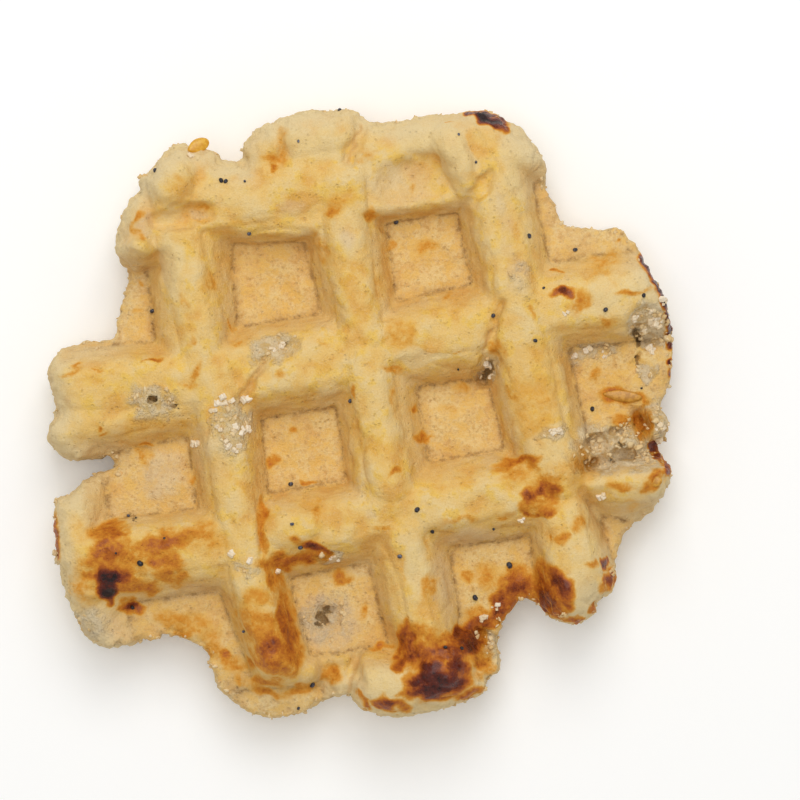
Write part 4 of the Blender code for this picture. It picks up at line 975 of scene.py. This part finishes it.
def settle(x, y):
    """The dough's point and outward direction under a place, or at the rim nearest to it."""
    point, normal, _, _ = dough_surface.ray_cast(Vector((x, y, 2 * THICKNESS)) * MM, Vector((0, 0, -1)))
    if point is None:
        point, normal, _, _ = dough_surface.find_nearest(Vector((x, y, SEAM_HEIGHT + 2)) * MM)
    return point, normal


def place_grain(grain, point, normal, turns, scale, shade):
    """A copy of a modelled grain, with its own mesh, moved to where it lies."""
    copy = grain.copy()
    copy.data = grain.data.copy()
    bpy.context.collection.objects.link(copy)
    lie = normal.to_track_quat("Z", "Y") @ Euler(turns).to_quaternion()
    copy.data.transform(Matrix.LocRotScale(point, lie, Vector(scale)))
    layer = copy.data.attributes.new("shade", "FLOAT", "POINT")
    layer.data.foreach_set("value", [shade] * len(copy.data.vertices))
    return copy


def gather(name, grain, copies, material):
    """Joins the copies of a grain as one finished piece on the waffle, and drops the model."""
    bpy.data.objects.remove(grain)
    bpy.ops.object.select_all(action="DESELECT")
    for copy in copies:
        copy.select_set(True)
    bpy.context.view_layer.objects.active = copies[0]
    bpy.ops.object.join()
    piece = bpy.context.object
    piece.name = name
    piece.data.materials.clear()
    piece.data.materials.append(material)
    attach(piece, "root")
    return piece


bpy.ops.mesh.primitive_uv_sphere_add(segments=12, ring_count=8, radius=POPPY_LENGTH / 2 * MM)
poppy = bpy.context.object
for vertex in poppy.data.vertices:
    x, y, z = vertex.co / (POPPY_LENGTH / 2 * MM)
    waist = 1 - 0.22 * math.exp(-(x * x) / 0.12) * max(y, 0)
    vertex.co = Vector((x, y * 0.84 * waist, z * 0.8)) * POPPY_LENGTH / 2 * MM
bpy.ops.object.shade_smooth()
draw = random.Random(11)
poppy_copies = []
for across, down, size, shade in POPPY_SPOTS:
    point, normal = settle(*from_photo(across, down))
    turns = (draw.uniform(-0.4, 0.4), draw.uniform(-0.4, 0.4), draw.uniform(0, math.tau))
    poppy_copies.append(place_grain(poppy, point + normal * 0.16 * MM, normal, turns, (size,) * 3, shade))

poppy_finish = Finish("poppy seed")
seed_mottle = poppy_finish.noise(0.35, 2.0)
seed_blue = poppy_finish.mix(seed_mottle.between(0.4, 0.62), light_of(60, 60, 72), light_of(122, 124, 138))
seed_black = poppy_finish.mix(seed_mottle.between(0.45, 0.7), light_of(24, 22, 26), light_of(66, 64, 74))
poppy_finish.feed("Base Color", poppy_finish.mix(poppy_finish.attribute("shade"), seed_black, seed_blue))
poppy_finish.feed("Roughness", 0.5)
poppy_finish.bump(poppy_finish.cells(0.22), 0.06)
gather("poppy_seeds", poppy, poppy_copies, poppy_finish.material)

# Flax seeds: flat glossy drops about four millimetres long. A whole golden one juts from the back left
# rim, a browned one lies in the right bay, and a part of one shows at the right rim.
FLAX_HALF = (2.25, 1.35, 0.5)
FLAX_SPOTS = [
    ((199, 146.5), 26, (0.05, -0.25), (1.06, 1.06, 1.0), 3.2, 0.0),
    ((622, 396), -6, (0.0, 0.05), (1.75, 0.86, 0.8), 0.2, 0.45),
    ((654, 481), 14, (0.1, 0.2), (0.6, 0.8, 0.8), 0.1, 0.35),
]
bpy.ops.mesh.primitive_uv_sphere_add(segments=28, ring_count=14, radius=1)
flax = bpy.context.object
for vertex in flax.data.vertices:
    x, y, z = vertex.co
    taper = 1 - 0.34 * max(x, 0) ** 1.6
    vertex.co = Vector((x * FLAX_HALF[0], y * FLAX_HALF[1] * taper, z * FLAX_HALF[2])) * MM
bpy.ops.object.shade_smooth()
flax_copies = []
for (across, down), turn, (pitch, roll), scale, proud, shade in FLAX_SPOTS:
    point, normal = settle(*from_photo(across, down))
    lie = (pitch, roll, math.radians(turn))
    centre = Vector((*(part * MM for part in from_photo(across, down)), point.z + proud * MM))
    flax_copies.append(place_grain(flax, centre, Vector((0, 0, 1)), lie, scale, shade))

flax_finish = Finish("flax seed")
flax_grain = flax_finish.noise(0.8, 3.0)
flax_gold = flax_finish.mix(flax_grain.between(0.4, 0.62), light_of(206, 146, 34), light_of(222, 170, 58))
flax_brown = flax_finish.mix(flax_grain.between(0.4, 0.62), light_of(122, 66, 22), light_of(176, 108, 44))
flax_finish.feed("Base Color", flax_finish.mix(flax_finish.attribute("shade"), flax_gold, flax_brown))
flax_finish.feed("Roughness", 0.34)
flax_finish.bump(flax_finish.noise(0.3, 2.0), 0.04)
gather("flax_seeds", flax, flax_copies, flax_finish.material)

# Pearl sugar: clusters of hard white crystals that didn't melt. Each cluster is a few chipped cubes
# bedded in the torn dough.
SUGAR_CLUSTERS = [
    (225, 401, 17, 8), (214, 412, 8, 6), (222, 429, 9, 7), (237, 428, 6, 5), (246, 431, 11, 8),
    (228, 445, 9, 8), (237, 450, 8, 7), (197, 444, 6, 4), (247, 400, 8, 6), (273, 348, 8, 6),
    (284, 345, 5, 4), (487, 363, 9, 8), (492, 375, 6, 6), (566, 314, 9, 7), (588, 350, 7, 4),
    (603, 356, 7, 5), (575, 355, 6, 4), (553, 431, 13, 9), (601, 495, 7, 7), (333, 557, 11, 5),
    (279, 570, 6, 5), (252, 560, 5, 4), (494, 607, 7, 8), (483, 618, 5, 6), (521, 519, 8, 5),
    (636, 318, 8, 6), (646, 330, 7, 6), (655, 320, 14, 16), (663, 302, 8, 12), (650, 350, 9, 10),
    (662, 428, 8, 12), (658, 440, 6, 4), (192, 157, 5, 4), (233, 552, 5, 3),
]
bpy.ops.mesh.primitive_cube_add(size=1 * MM)
crystal = bpy.context.object
bpy.ops.object.mode_set(mode="EDIT")
bpy.ops.mesh.bevel(offset=0.14 * MM, segments=1)
bpy.ops.mesh.subdivide(number_cuts=1)
bpy.ops.object.mode_set(mode="OBJECT")
for vertex in crystal.data.vertices:
    vertex.co += noise.noise_vector(vertex.co / (0.6 * MM)) * 0.13 * MM
crystal_copies = []
for across, down, width, depth in SUGAR_CLUSTERS:
    for _ in range(max(3, round(width * depth / 14))):
        x, y = from_photo(across + draw.gauss(0, width / 4), down + draw.gauss(0, depth / 4))
        point, normal = settle(x, y)
        size = draw.uniform(0.5, 1.5)
        scale = (size, size * draw.uniform(0.6, 1.0), size * draw.uniform(0.5, 0.9))
        turns = [draw.uniform(0, math.tau) for _ in range(3)]
        lift = normal * size * draw.uniform(-0.25, 0.2) * MM
        crystal_copies.append(place_grain(crystal, point + lift, normal, turns, scale, draw.random()))

sugar_finish = Finish("pearl sugar")
sugar_cream = light_of(228, 204, 164)
sugar_white = light_of(240, 226, 202)
sugar_tone = sugar_finish.mix(sugar_finish.attribute("shade"), sugar_cream, sugar_white)
sugar_finish.feed("Base Color", sugar_tone)
sugar_finish.feed("Roughness", 0.4)
sugar_finish.bump(sugar_finish.noise(0.25, 3.0), 0.1)
gather("pearl_sugar", crystal, crystal_copies, sugar_finish.material)

# Crumbs: bits of soft dough that cling where the crust tore, and a few that hang from the rim.
CRUMBS_PER_AREA = 0.5
FRINGE_CRUMBS = 520
RIM_CRUMBS = [
    (54, 556, 9, 20, 26), (486, 689, 5, 6, 6), (658, 318, 14, 14, 22), (668, 339, 4, 9, 8),
    (142, 177, 6, 8, 8), (560, 614, 6, 4, 5), (612, 572, 4, 8, 7), (622, 432, 30, 16, 30),
    (640, 455, 22, 14, 22),
]
bpy.ops.mesh.primitive_ico_sphere_add(subdivisions=2, radius=0.5 * MM)
crumb_model = bpy.context.object
for vertex in crumb_model.data.vertices:
    vertex.co *= 1 + 0.9 * noise.noise(vertex.co / (0.42 * MM))
bpy.ops.object.shade_smooth()
crumb_spots = []
for x, y, half_length, half_width, turn, strength in TORN_CRUMB:
    for _ in range(round(CRUMBS_PER_AREA * math.pi * half_length * half_width * strength**2)):
        reach = math.sqrt(draw.random())
        spin = draw.uniform(0, math.tau)
        along, across = reach * half_length * math.cos(spin), reach * half_width * math.sin(spin)
        angle = math.radians(turn)
        crumb_spots.append((
            x + along * math.cos(angle) - across * math.sin(angle),
            y + along * math.sin(angle) + across * math.cos(angle),
        ))
for across, down, width, depth, count in RIM_CRUMBS:
    for _ in range(count):
        crumb_spots.append(from_photo(across + draw.gauss(0, width / 3.4), down + draw.gauss(0, depth / 3.4)))
crumb_beds = [(*settle(x, y), draw.uniform(0.5, 1.8) * draw.uniform(0.6, 1.0)) for x, y in crumb_spots]
for _ in range(FRINGE_CRUMBS):
    x, y = rim_line[draw.randrange(len(rim_line))]
    place = Vector((x + draw.gauss(0, 0.6), y + draw.gauss(0, 0.6), draw.uniform(5.0, 15.0))) * MM
    point, normal, _, _ = dough_surface.find_nearest(place)
    crumb_beds.append((point, normal, draw.uniform(0.35, 1.2)))
crumb_copies = []
for point, normal, size in crumb_beds:
    scale = (size, size * draw.uniform(0.5, 1.0), size * draw.uniform(0.35, 0.8))
    turns = [draw.uniform(0, math.tau) for _ in range(3)]
    lift = normal * size * draw.uniform(-0.25, 0.12) * MM
    crumb_copies.append(place_grain(crumb_model, point + lift, normal, turns, scale, draw.random()))

crumb_finish = Finish("crumb")
crumb_golden = light_of(218, 182, 122)
crumb_pale = light_of(234, 210, 164)
crumb_tone = crumb_finish.mix(crumb_finish.attribute("shade"), crumb_golden, crumb_pale)
crumb_finish.feed("Base Color", crumb_finish.mix(
    crumb_finish.noise(1.0).between(0.58, 0.7) * 0.5, crumb_tone, light_of(206, 150, 78)))
crumb_finish.feed("Roughness", 0.75)
crumb_finish.bump(crumb_finish.noise(0.25, 3.0), 0.12)
gather("crumbs", crumb_model, crumb_copies, crumb_finish.material)

# The studio: a plain pale table under the waffle, a large soft window of light from the back and
# an even glow from all round, and a long lens looking straight down from high above.
FLOOR_SIZE = 6.0
bpy.ops.object.select_all(action="DESELECT")
bpy.ops.mesh.primitive_plane_add(size=FLOOR_SIZE, location=(0, 0, -0.0002))
table = bpy.context.object
table.name = "table"
table_finish = Finish("pale table")
table_finish.feed("Base Color", (0.93, 0.93, 0.92, 1.0))
table_finish.feed("Roughness", 0.8)
table_finish.feed("Emission Color", (1.0, 1.0, 1.0, 1.0))
table_finish.feed("Emission Strength", 0.09)
table.data.materials.append(table_finish.material)

world = bpy.data.worlds.new("soft glow")
world.use_nodes = True
world.node_tree.nodes["Background"].inputs["Color"].default_value = (1.0, 0.99, 0.97, 1.0)
world.node_tree.nodes["Background"].inputs["Strength"].default_value = 0.5
bpy.context.scene.world = world

WINDOW_LIGHTS = {
    "back window": ((0.05, 0.60, 0.80), 0.6, 3.7),
    "overhead window": ((-0.1, 0.1, 1.1), 0.6, 3.0),
}
for name, (place, size, watts) in WINDOW_LIGHTS.items():
    bpy.ops.object.light_add(type="AREA", location=place)
    window = bpy.context.object
    window.name = name
    window.data.size = size
    window.data.energy = watts
    window.rotation_euler = (Vector((0, 0, 0)) - Vector(place)).to_track_quat("-Z", "Y").to_euler()

CAMERA_HEIGHT = 1.5
FRAME_WIDTH = 0.160
FRAME_MIDDLE = (0.008, 0.0027)
bpy.ops.object.camera_add(location=(*FRAME_MIDDLE, CAMERA_HEIGHT), rotation=(0, 0, 0))
camera = bpy.context.object
camera.data.sensor_width = 36.0
camera.data.lens = 36.0 * (CAMERA_HEIGHT - SEAM_HEIGHT * MM) / FRAME_WIDTH
camera.data.clip_end = 20.0
bpy.context.scene.camera = camera
bpy.context.scene.view_settings.view_transform = "Standard"
